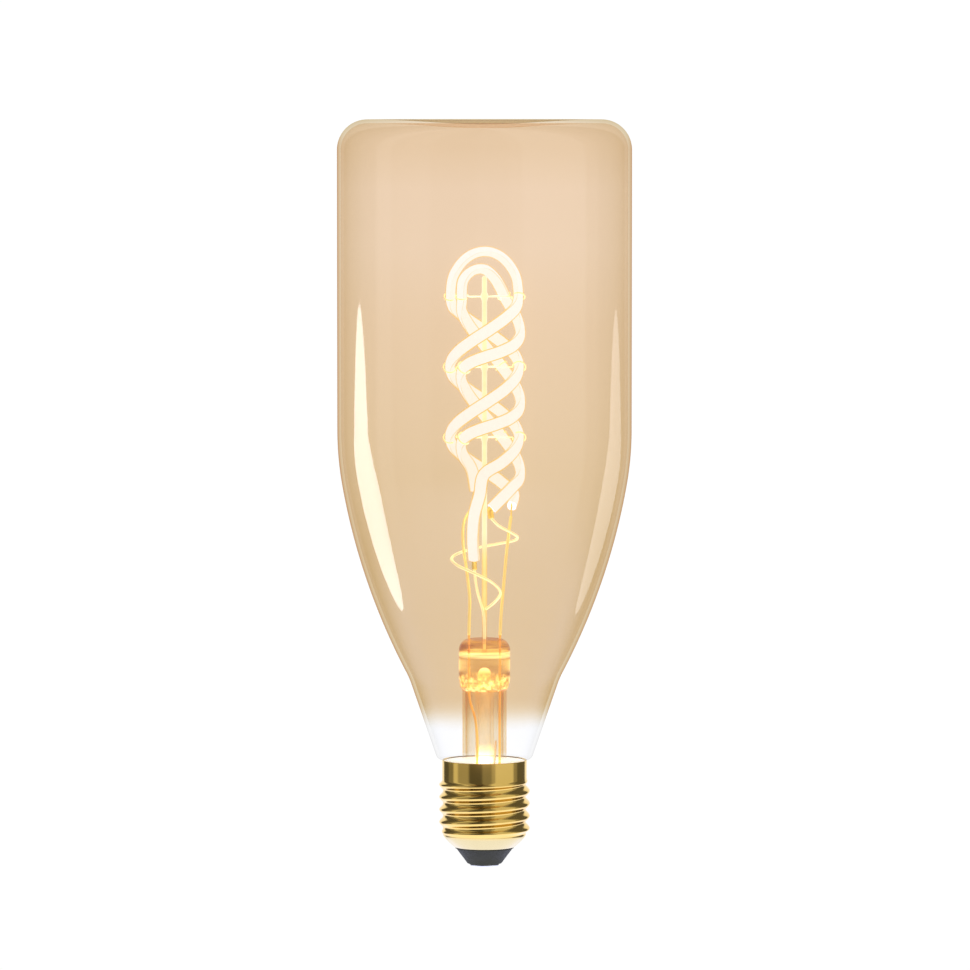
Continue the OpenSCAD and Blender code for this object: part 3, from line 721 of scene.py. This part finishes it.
def lit_core():
    """The lit strip: near white, with a faint pattern of chips under the phosphor."""
    g = Graph("lit_core")
    chips = g.noise(900.0, 1.0)
    colour = g.blend(chips, (0.56, 0.58, 0.95), (0.58, 0.63, 1.0))
    return unlit(g.end(g.add("ShaderNodeEmission", Color=colour, Strength=2.85).outputs[0]))


def lit_coat(name, share, dark, light):
    """Phosphor silicone: see-through amber that glows a little by itself; share is how much it hides."""
    g = Graph(name)
    glow = g.add("ShaderNodeEmission", Color=g.blend(g.noise(700.0, 2.0), dark, light), Strength=1.15)
    clear = g.add("ShaderNodeBsdfTransparent", Color=(1.0, 0.98, 0.92, 1))
    return unlit(g.end(g.mix(share, clear.outputs[0], glow.outputs[0])))


def glowing_wire(name, dark, light, glow, hook=None):
    """Bare metal wire right beside the filaments, with a painted glow for their light; hooks are a deeper
    gold.
    """
    g = Graph(name)
    grain = g.noise(260.0, 3.0)
    if hook is not None:
        light = g.blend(g.reach(6.0, 8.0), light, hook)
        dark = g.blend(g.reach(6.0, 8.0), dark, hook)
    shader = g.add(
        "ShaderNodeBsdfPrincipled",
        Base_Color=g.blend(grain, dark, light),
        Roughness=g.span(grain, 0.25, 0.45),
        Metallic=1.0,
        Emission_Color=g.blend(grain, dark, light),
        Emission_Strength=glow,
    )
    return unlit(g.end(shader.outputs["BSDF"]))


def brass():
    """Bright rolled brass with fine drawing marks round the cap, and a paler foot, a painted reflection of
    the pale floor below.
    """
    g = Graph("brass")
    marks = g.noise(900.0, 4.0, (0.15, 0.15, 6.0))
    stain = g.noise(160.0, 3.0)
    drawn = g.blend(stain, (0.80, 0.53, 0.12), (0.86, 0.60, 0.18))
    # Painted reflection: the foot is paler, as if it mirrored the floor.
    foot_painted_reflection = g.blend(stain, (0.64, 0.52, 0.23), (0.70, 0.58, 0.27))
    shader = g.add(
        "ShaderNodeBsdfPrincipled",
        Base_Color=g.blend(g.height(8.2, 9.6), foot_painted_reflection, drawn),
        Roughness=g.span(stain, 0.09, 0.15),
        Metallic=1.0,
        Normal=g.bump(marks, 0.06, 0.02 * MM),
    )
    return g.end(shader.outputs["BSDF"])


def circuit_board(name, dark, light):
    """Solder mask over a fine square pattern of tracks."""
    g = Graph(name)
    tracks = g.add("ShaderNodeTexBrick", Vector=g.place(), Scale=420.0)
    shader = g.add(
        "ShaderNodeBsdfPrincipled",
        Base_Color=g.blend(tracks.outputs["Fac"], dark, light),
        Roughness=0.35,
        Normal=g.bump(tracks.outputs["Fac"], 0.3, 0.03 * MM),
    )
    return g.end(shader.outputs["BSDF"])


AMBER = amber_glass()
AMBER_INSIDE = amber_glass_inside()
STEM = stem_glass()
HEAD = head_glass()
HOLLOW = hollow_glass()
EXHAUST = exhaust_glass()
ROD = rod_glass()
CORE = lit_core()
FRONT_COAT = lit_coat("front_coat", 0.55, (1.0, 0.66, 0.22), (1.0, 0.76, 0.32))
BACK_COAT = lit_coat("back_coat", 0.6, (1.0, 0.70, 0.26), (1.0, 0.80, 0.38))
# Painted glow: these wires shine as if lit by the filaments.
LEAD = glowing_wire("lead_wire", (0.96, 0.70, 0.20), (1.0, 0.88, 0.38), 0.75)
LINK = glowing_wire("link_wire", (1.0, 0.80, 0.34), (1.0, 0.96, 0.72), 0.85)
ARM = glowing_wire("arm_wire", (1.0, 0.94, 0.62), (1.0, 0.99, 0.80), 1.0, (0.96, 0.74, 0.40))
TAB = glowing_wire("tab_metal", (0.98, 0.66, 0.10), (1.0, 0.80, 0.22), 0.6)
BRASS = brass()
# Painted glow on the copper-clad wires too.
COPPER_CLAD = glowing_wire("copper_clad_wire", (0.90, 0.44, 0.06), (1.0, 0.66, 0.16), 0.8)
INSULATOR = grained("insulator", (0.028, 0.028, 0.022), (0.044, 0.044, 0.036), 0.6, 0.0, 900.0, 0.12,
                    specular=0.15)
CONTACT = grained("contact_metal", (0.62, 0.62, 0.60), (0.78, 0.78, 0.76), 0.28, 1.0)
SOLDER = grained("solder", (0.60, 0.61, 0.62), (0.80, 0.81, 0.82), 0.2, 1.0, 1200.0)
# Painted light: the cement glows a little, though it lies in shade.
CEMENT = grained("cement", (0.90, 0.90, 0.88), (0.98, 0.98, 0.96), 0.85, 0.0, 1500.0, 0.3,
                 glow=0.4)
LINER = grained("liner_plastic", (0.78, 0.78, 0.75), (0.88, 0.88, 0.86), 0.45)
CHIP = grained("chip_body", (0.020, 0.020, 0.022), (0.040, 0.040, 0.044), 0.5)
SLEEVE = grained("capacitor_sleeve", (0.020, 0.025, 0.040), (0.035, 0.040, 0.060), 0.25, coat=0.5)
FERRITE = grained("ferrite", (0.05, 0.05, 0.055), (0.10, 0.10, 0.11), 0.7, 0.0, 2200.0, 0.4)
COPPER = grained("copper_winding", (0.52, 0.20, 0.07), (0.74, 0.36, 0.16), 0.3, 1.0, 1500.0, 0.3,
                 stretch=(0.2, 0.2, 3.0))
RESISTOR = grained("resistor_body", (0.20, 0.36, 0.44), (0.28, 0.46, 0.54), 0.4, coat=0.3)
PASSIVE = grained("passive_body", (0.32, 0.24, 0.16), (0.46, 0.36, 0.25), 0.45)
GOLD = grained("gold_pin", (0.78, 0.58, 0.20), (0.90, 0.70, 0.32), 0.2, 1.0)
TIN = grained("shield_tin", (0.66, 0.67, 0.68), (0.80, 0.81, 0.82), 0.3, 1.0)
CLEAR_SLEEVE = grained("wire_clear_sleeve", (0.80, 0.62, 0.40), (0.92, 0.76, 0.54), 0.35)
RED = grained("wire_red", (0.42, 0.03, 0.02), (0.56, 0.06, 0.05), 0.45)
BLUE = grained("wire_blue", (0.03, 0.08, 0.36), (0.06, 0.14, 0.50), 0.45)
BOARD = circuit_board("circuit_board", (0.02, 0.16, 0.07), (0.05, 0.26, 0.12))
MODULE = circuit_board("module_board", (0.02, 0.08, 0.22), (0.05, 0.15, 0.34))


# ---------- glass pieces ----------

def glass_envelope():
    """The bottle: its outside and inside in one closed mesh, each with its own material."""
    outer = glass_outline(0)
    inner = glass_outline(wall)
    body = place(lathe("envelope", outer + inner[::-1]), AMBER, "amber_glass", "glass_envelope")
    paint_rings(body, AMBER_INSIDE, len(outer) - 1, len(outer) + len(inner) - 1, LATHE_SIDES)


def flare(r0, z0, z1, steps=32, power=2.4):
    """The stem's trumpet, down to its flat rim under the neck."""
    r1 = neck_r - wall
    out = []
    for s in np.linspace(0, 1, steps + 1):
        out.append((r0 + (r1 - r0) * s**power, z0 + (z1 - z0) * math.sin(math.pi / 2 * s)))
    return out + [(neck_r, z1)]


def stem_tube():
    """The thin tube inside the neck, which flares out to the neck's end."""
    outer_r = 6.4
    tube_wall = 0.9
    flare_top_z = 31.0
    bore_r = outer_r - tube_wall
    outer = [(outer_r, STEM_HIGH.z)] + flare(outer_r, flare_top_z, neck_bottom_z)
    inner = [(bore_r, STEM_HIGH.z)] + flare(bore_r, flare_top_z - tube_wall, STEM_LOW.z)
    place(lathe("stem", outer + inner[::-1], closed=True), STEM, "clear_glass", "stem_tube")


def stem_head():
    """The thick head, with the blind hollow over the exhaust tube."""
    r = HEAD_HIGH.x
    top = HEAD_HIGH.z
    bottom = HEAD_LOW.z
    corner = 3.3
    hollow_r = 1.9
    hollow_z = 55.6
    shoulder = [(6.4, 0), (6.9, 0.8), (r - 0.1, 2.6), (r, 3.6)]
    profile = [(hollow_r, bottom)] + [(x, bottom + up) for x, up in shoulder]
    profile += arc(np.array([r - corner, top - corner]), corner, 0, 90, 14)
    profile += [(0, top)]
    first = len(profile)
    profile += arc(np.array([0, hollow_z]), hollow_r, 90, 0, 12)
    body = place(lathe("head", profile, closed=True), HEAD, "clear_glass", "stem_head")
    paint_rings(body, HOLLOW, first, len(profile), LATHE_SIDES)


def exhaust_tube():
    """The thin tube inside the stem, with its round sealed tip at the bottom."""
    bore_r = 1.9
    tip_t = 0.6
    outer_r = EXHAUST_HIGH.x
    tip = EXHAUST_LOW.z + outer_r
    profile = [(bore_r, EXHAUST_HIGH.z), (outer_r, EXHAUST_HIGH.z)]
    profile += arc(np.array([0, tip]), outer_r, 0, -90, 12)
    profile += arc(np.array([0, tip + tip_t]), bore_r, -90, 0, 12)
    place(lathe("exhaust", profile, sides=96, closed=True), EXHAUST, "clear_glass", "exhaust_tube")


def centre_rod():
    """The rod with a melted bead at each level of arms and a rounded tip."""
    levels = [level_top_z - i * helix_pitch / 2 for i in (2, 1, 0)]
    profile = [(0, ROD_LOW.z), (rod_r, ROD_LOW.z)]
    for z in levels:
        for s in np.linspace(-1, 1, 15):
            swell = math.cos(math.pi / 2 * s) ** 2
            profile.append((rod_r + (bead_r - rod_r) * swell, z + bead_half_h * s))
    profile += arc(np.array([0, ROD_HIGH.z - rod_r]), rod_r, 0, 90, 8)[:-1] + [(0, ROD_HIGH.z)]
    place(lathe("rod", profile, sides=48), ROD, "clear_glass", "centre_rod")


# ---------- filaments and wires ----------

FILAMENTS = {
    1: (curve(filament_1_route(), CURVE_STEPS), 0.0),
    2: (curve(filament_2_route(), CURVE_STEPS), inner_helix_x),
}


def half_oval(width, thickness, steps, side):
    """Half of an oval outline: side 1 for the outward half, -1 for the inward half."""
    angles = np.linspace(0, np.pi, steps + 1)
    return [(width / 2 * math.cos(a), side * thickness / 2 * math.sin(a) ** 0.8) for a in angles]


def filament(number):
    """A lit strip that shines outwards, in a clear front coat and a deeper back coat."""
    path, axis_x = FILAMENTS[number]
    normals = outward_normals(path, axis_x)
    strip, front, back = (f"filament_{number}_{part}" for part in ("strip", "front_coat", "back_coat"))
    core = oval(core_w, core_t, 16)
    outward = half_oval(filament_w, filament_t, 14, 1)
    inward = half_oval(filament_w, filament_t, 14, -1)
    place(sweep(f"lit_{number}", path, normals, core), CORE, "filament_strip", strip)
    place(sweep(f"front_{number}", path, normals, outward), FRONT_COAT, "filament_coat", front)
    place(sweep(f"back_{number}", path, normals, inward), BACK_COAT, "filament_coat", back)


def strand_at(number, z, side):
    """Place, normal and direction of the filament where it crosses the height z on one side."""
    path, axis_x = FILAMENTS[number]
    normals = outward_normals(path, axis_x)
    for a, b, n in zip(path, path[1:], normals):
        if (a[2] - z) * (b[2] - z) <= 0 and np.dot(a + b, side) > 0:
            f = (z - a[2]) / (b[2] - a[2])
            t = unit(b - a)
            return a + f * (b - a), square_to(n, t), t
    raise ValueError(f"filament {number} doesn't cross {z}")


def support_arm(name, strand, z):
    """A fine arm from the rod's bead, with an open hook round the strand."""
    where, normal, along = strand
    width = np.cross(normal, along)
    start = where - hook_r * normal
    out = unit(np.array([start[0], start[1], 0]))
    reach = math.hypot(start[0], start[1]) - hook_neck
    level = np.array([0, 0, z])
    route = [bead_inset * out + level, reach * 0.5 * out + level, reach * out + level]
    for a in np.radians(np.arange(180, 481, 20)):
        route.append(where + hook_r * (math.cos(a) * normal + math.sin(a) * width))
    path = curve(route, 3)
    return sweep(name, path, carried_normals(path, np.array([0, 0, 1.0])), round_outline(arm_r, 10))


def support_arms():
    """Four arms at each level: two hold filament 1 at its sides, two hold filament 2 front and back."""
    for index, level in enumerate(("top", "middle", "bottom")):
        z = level_top_z - index * helix_pitch / 2
        held = [(1, (1, 0, 0)), (1, (-1, 0, 0)), (2, (0, 1, 0)), (2, (0, -1, 0))]
        arms = [
            support_arm(f"arm_{level}_{i}", strand_at(number, z, side), z)
            for i, (number, side) in enumerate(held)
        ]
        place(join(f"arms_{level}", arms), ARM, "support_wire", f"support_arms_{level}")


def leads():
    """The four wires between the head and the filaments."""
    place(wire("lead_left", left_lead_route, lead_r), LEAD, "nickel_wire", "inner_lead_left")
    place(wire("lead_right", right_lead_route, lead_r), LEAD, "nickel_wire", "inner_lead_right")
    place(wire("post", post_route, post_r), LINK, "nickel_wire", "link_post")
    place(wire("link", link_route, post_r), LINK, "nickel_wire", "link_wire")


def tab(name, before, start, end, axis_x):
    """A flat metal tab that carries a strip on and turns to its lead."""
    start, before, end = np.asarray(start, float), np.asarray(before, float), np.asarray(end, float)
    path = curve([start, start + tab_straight * unit(start - before), end], 6)
    w, t = tab_w / 2, tab_t / 2
    outline = [(-w, -t), (w, -t), (w, t), (-w, t)]
    return sweep(name, path, outward_normals(path, axis_x), outline)


def filament_tabs():
    """One tab on each of the four filament ends."""
    one, two = FILAMENTS[1][0], FILAMENTS[2][0]
    tabs = [
        tab("tab_0", one[1], one[0], post_route[-1], 0),
        tab("tab_1", one[-2], one[-1], right_lead_route[-1], 0),
        tab("tab_2", two[1], two[0], link_route[0], inner_helix_x),
        tab("tab_3", two[-2], two[-1], left_lead_route[-1], inner_helix_x),
    ]
    place(join("tabs", tabs), TAB, "filament_strip", "filament_tabs")


# ---------- screw cap ----------

def fade(z, z0, z1):
    """0 below z0 and 1 above z1, with soft ends."""
    s = min(max((z - z0) / (z1 - z0), 0.0), 1.0)
    return s * s * (3 - 2 * s)


def shell_radius(z, angle):
    """The shell's outer radius: curved foot, rolled thread, smooth skirt."""
    root = thread_crest_r - thread_depth
    foot_z = SHELL_LOW.z
    if z <= thread_bottom_z:
        t = (thread_bottom_z - z) / (thread_bottom_z - foot_z)
        return foot_r + (root - foot_r) * (1 - t**foot_power)
    middle = (thread_crest_r + root) / 2
    wave = middle + thread_depth / 2 * math.cos(2 * math.pi * z / thread_pitch - angle)
    low = fade(z, thread_bottom_z, thread_bottom_z + thread_fade)
    high = fade(z, skirt_bottom_z - thread_fade, skirt_bottom_z)
    return (root * (1 - low) + wave * low) * (1 - high) + skirt_r * high


def screw_shell():
    """One thin rolled sheet: the thread shows inside as well as outside."""
    sides = 240
    foot = SHELL_LOW.z
    rim = SHELL_HIGH.z
    edge = sheet_t / 2
    rolled_edge = ((0.7, 0.7), (0.0, 1.0), (-0.7, 0.7), (-1.0, 0.0))
    inside_from = foot + 0.4
    heights = list(np.linspace(foot, thread_bottom_z, 16)[:-1])
    heights += list(np.linspace(thread_bottom_z, skirt_bottom_z, 150)[:-1])
    heights += list(np.linspace(skirt_bottom_z, rim - edge, 8))
    angles = 2 * np.pi * np.arange(sides) / sides
    rings = [[(shell_radius(z, a), z, a) for a in angles] for z in heights]
    rings += [
        [(skirt_r - edge * (1 - c), rim - edge + edge * s, a) for a in angles]
        for c, s in rolled_edge
    ]
    rings += [
        [(shell_radius(z, a) - sheet_t, z, a) for a in angles]
        for z in reversed(heights) if z > inside_from
    ]
    rings += [[(mouth_r, z, a) for a in angles] for z in (foot + mouth_h, foot)]
    points = [(r * math.cos(a), r * math.sin(a), z) for ring in rings for r, z, a in ring]
    loops = [list(range(i * sides, (i + 1) * sides)) for i in range(len(rings))]
    faces = [f for a, b in zip(loops, loops[1:] + loops[:1]) for f in ring_faces(a, b)]
    place(make_mesh("shell", points, faces), BRASS, "brass", "screw_shell")


def cap_insulator():
    """The dark cone under the shell, with the groove that the shell's foot is rolled into."""
    tip_r, rounding = 5.2, 0.55
    base = 0.6
    socket_r, socket_top = 1.62, 2.05
    wire_hole_r = 0.9
    top = 7.6
    profile = [(socket_r, socket_top), (socket_r, base)]
    profile += arc(np.array([tip_r - rounding, base + rounding]), rounding, -90, -25, 8)
    profile += [(8.32, 5.18)] + arc(np.array([8.3, 5.2]), 0.2, -25, 90, 6)
    profile += [(8.0, 5.4), (8.0, 6.3), (9.1, 6.3), (9.2, 6.4), (9.2, top - 0.1), (9.1, top)]
    profile += [(wire_hole_r, top), (wire_hole_r, socket_top)]
    place(lathe("insulator_cone", profile, sides=128, closed=True), INSULATOR, "insulator", "cap_insulator")


def end_contact():
    """The contact's disc and its hollow rivet up into the insulator."""
    r = 4.3
    profile = [(0, 0), (r - 0.5, 0)] + arc(np.array([r - 0.3, 0.3]), 0.3, -70, 60, 8)
    profile += [(r - 0.2, 0.6), (1.6, 0.6), (1.6, 1.95), (1.55, 2.0), (0.8, 2.0), (0.8, 0.65), (0, 0.6)]
    place(lathe("contact_disc", profile, sides=96), CONTACT, "contact_metal", "end_contact")


# ---------- CAD nodes that keep their shape ----------

KEPT = {
    "seal_wire_left": COPPER_CLAD, "seal_wire_right": COPPER_CLAD,
    "outer_lead_left": COPPER_CLAD, "outer_lead_right": COPPER_CLAD,
    "contact_solder": SOLDER, "neutral_solder": SOLDER, "cap_cement": CEMENT, "insulating_liner": LINER,
    "driver_board": BOARD, "wireless_module": MODULE, "bridge_rectifier": CHIP, "driver_chip": CHIP,
    "bulk_capacitor": SLEEVE, "inductor_core": FERRITE, "inductor_winding": COPPER,
    "fusible_resistor": RESISTOR, "board_passives": PASSIVE, "header_pins": GOLD, "shield_can": TIN,
    "antenna_wire": CLEAR_SLEEVE, "live_wire": RED, "neutral_wire": BLUE,
}


def paint_kept_nodes():
    """Gives each of them its material."""
    for name, material in KEPT.items():
        for slot in frame["nodes"][name].material_slots:
            slot.material = material


# ---------- studio ----------

# Azimuth from the front, to the right positive, and the brightness that reflections find there.
STUDIO_BANDS = [
    (-180, 1.1), (-147, 1.1), (-141, 0.10), (-116, 0.10), (-112, 0.22), (-96, 0.22),
    (-91, 0.72), (-80, 0.72), (-75, 0.38), (-46, 0.38), (-40, 0.09), (-8, 0.09),
    (-4, 0.24), (18, 0.24), (21, 0.42), (28, 0.42), (31, 0.75), (84, 0.75),
    (88, 0.30), (98, 0.30), (102, 0.12), (140, 0.12), (146, 1.1), (180, 1.1),
]


def world():
    """White to the camera; to reflections, a studio of bright and dark upright bands over a white floor."""
    sky = bpy.data.worlds.new("studio")
    bpy.context.scene.world = sky
    sky.use_nodes = True
    nodes, links = sky.node_tree.nodes, sky.node_tree.links
    nodes.clear()

    def node(kind, **values):
        made = nodes.new(kind)
        for key, value in values.items():
            setattr(made, key, value)
        return made

    def set_range(made, low, high):
        made.inputs["From Min"].default_value = low
        made.inputs["From Max"].default_value = high

    split = node("ShaderNodeSeparateXYZ")
    links.new(node("ShaderNodeTexCoord").outputs["Generated"], split.inputs[0])
    front = node("ShaderNodeMath", operation="MULTIPLY")
    front.inputs[1].default_value = -1.0
    links.new(split.outputs["Y"], front.inputs[0])
    azimuth = node("ShaderNodeMath", operation="ARCTAN2")
    links.new(split.outputs["X"], azimuth.inputs[0])
    links.new(front.outputs[0], azimuth.inputs[1])
    share = node("ShaderNodeMapRange")
    set_range(share, -math.pi, math.pi)
    links.new(azimuth.outputs[0], share.inputs["Value"])
    bands = node("ShaderNodeValToRGB")
    fill_ramp(bands.color_ramp, [((a + 180) / 360, (level,) * 3) for a, level in STUDIO_BANDS])
    links.new(share.outputs[0], bands.inputs[0])

    below = node("ShaderNodeMapRange", interpolation_type="SMOOTHSTEP")
    set_range(below, -0.25, -0.55)
    links.new(split.outputs["Z"], below.inputs["Value"])
    gloss = node("ShaderNodeMix", data_type="RGBA")
    gloss.inputs[7].default_value = (1.35, 1.42, 2.0, 1)
    links.new(below.outputs[0], gloss.inputs[0])
    links.new(bands.outputs[0], gloss.inputs[6])

    rays = node("ShaderNodeLightPath")
    reflected = node("ShaderNodeMath", operation="SUBTRACT", use_clamp=True)
    links.new(rays.outputs["Is Glossy Ray"], reflected.inputs[0])
    links.new(rays.outputs["Is Transmission Ray"], reflected.inputs[1])
    plain = node("ShaderNodeBackground")
    plain.inputs["Color"].default_value = (1, 1, 1, 1)
    plain.inputs["Strength"].default_value = 1.02
    studio = node("ShaderNodeBackground")
    links.new(gloss.outputs[2], studio.inputs["Color"])
    mix = node("ShaderNodeMixShader")
    links.new(reflected.outputs[0], mix.inputs[0])
    links.new(plain.outputs[0], mix.inputs[1])
    links.new(studio.outputs[0], mix.inputs[2])
    links.new(mix.outputs[0], node("ShaderNodeOutputWorld").inputs["Surface"])


def floor():
    """A plain pale floor, below the bulb, which hangs free as if in its holder's place."""
    half = 1100
    drop = -260
    points = [(-half, -half, drop), (half, -half, drop), (half, half, drop), (-half, half, drop)]
    obj = make_mesh("floor", points, [(0, 1, 2, 3)])
    g = Graph("floor")
    speckle = g.noise(3.0, 2.0)
    shader = g.add(
        "ShaderNodeBsdfPrincipled",
        Base_Color=g.blend(speckle, (0.95, 0.95, 0.95), (0.97, 0.97, 0.97)),
        Roughness=0.8,
        Emission_Color=(1, 1, 1, 1),
        Emission_Strength=0.12,
    )
    obj.data.materials.append(unlit(g.end(shader.outputs["BSDF"])))
    obj.visible_glossy = False


def softbox(name, azimuth, distance, height, size, power, lean=0.0):
    """An oval light that faces the bulb's axis, in millimetres, watts and degrees; lean tips it over."""
    data = bpy.data.lights.new(name, "AREA")
    data.shape = "ELLIPSE"
    data.size, data.size_y = size[0] * MM, size[1] * MM
    data.energy = power
    obj = bpy.data.objects.new(name, data)
    bpy.context.scene.collection.objects.link(obj)
    a = math.radians(azimuth)
    away = Vector((math.sin(a), -math.cos(a), 0))
    obj.location = (away * distance + Vector((0, 0, height))) * MM
    obj.rotation_mode = "QUATERNION"
    obj.rotation_quaternion = Quaternion(away, math.radians(lean)) @ away.to_track_quat("Z", "Y")
    obj.visible_camera = False
    return obj


def streak(name, **where):
    """A softbox that only the glass envelope reflects, as one bright streak."""
    group = bpy.data.collections.new(name + "_on")
    group.objects.link(bpy.data.objects["envelope"])
    softbox(name, **where).light_linking.receiver_collection = group


def lights():
    """A streak down each side of the glass, and a broad soft key light that leaves no reflection."""
    streak("streak_left", azimuth=-106, distance=424, height=-5, size=(195, 325), power=1.15, lean=18)
    streak("streak_right", azimuth=120, distance=430, height=15, size=(190, 270), power=0.32)
    key = softbox("key", azimuth=-35, distance=1400, height=700, size=(900, 1000), power=8.0)
    key.visible_glossy = False


def camera():
    """A long lens, three and a half degrees above the level, aimed at the middle of the picture."""
    data = bpy.data.cameras.new("camera")
    data.sensor_width = 36
    distance = 1.8
    picture_pixels = 970
    pixels_per_mm = 3.46
    frame_width = picture_pixels / pixels_per_mm * MM
    data.lens = data.sensor_width * distance / frame_width
    obj = bpy.data.objects.new("camera", data)
    bpy.context.scene.collection.objects.link(obj)
    elevation = math.radians(3.5)
    back = Vector((0, -math.cos(elevation), math.sin(elevation)))
    aim = Vector((0.15 * MM, 0, 110.5 * MM))
    obj.location = aim + back * distance
    obj.rotation_mode = "QUATERNION"
    obj.rotation_quaternion = back.to_track_quat("Z", "Y")
    bpy.context.scene.camera = obj


def bloom():
    """A soft glow round everything brighter than the white background, as a lens gives it."""
    scene = bpy.context.scene
    scene.use_nodes = True
    tree = scene.node_tree
    tree.nodes.clear()
    picture = tree.nodes.new("CompositorNodeRLayers")
    glare = tree.nodes.new("CompositorNodeGlare")
    glare.glare_type = "BLOOM"
    glare.inputs["Threshold"].default_value = 1.06
    glare.inputs["Smoothness"].default_value = 0.0
    glare.inputs["Strength"].default_value = 0.8
    glare.inputs["Size"].default_value = 0.1
    glare.inputs["Tint"].default_value = (1.0, 0.72, 0.35, 1)
    result = tree.nodes.new("CompositorNodeComposite")
    tree.links.new(picture.outputs["Image"], glare.inputs["Image"])
    tree.links.new(glare.outputs["Image"], result.inputs["Image"])


glass_envelope()
stem_tube()
stem_head()
exhaust_tube()
centre_rod()
filament(1)
filament(2)
filament_tabs()
support_arms()
leads()
screw_shell()
cap_insulator()
end_contact()
paint_kept_nodes()
world()
floor()
lights()
camera()
bloom()
bpy.context.scene.view_settings.view_transform = "Standard"
bpy.context.scene.cycles.transparent_max_bounces = 40
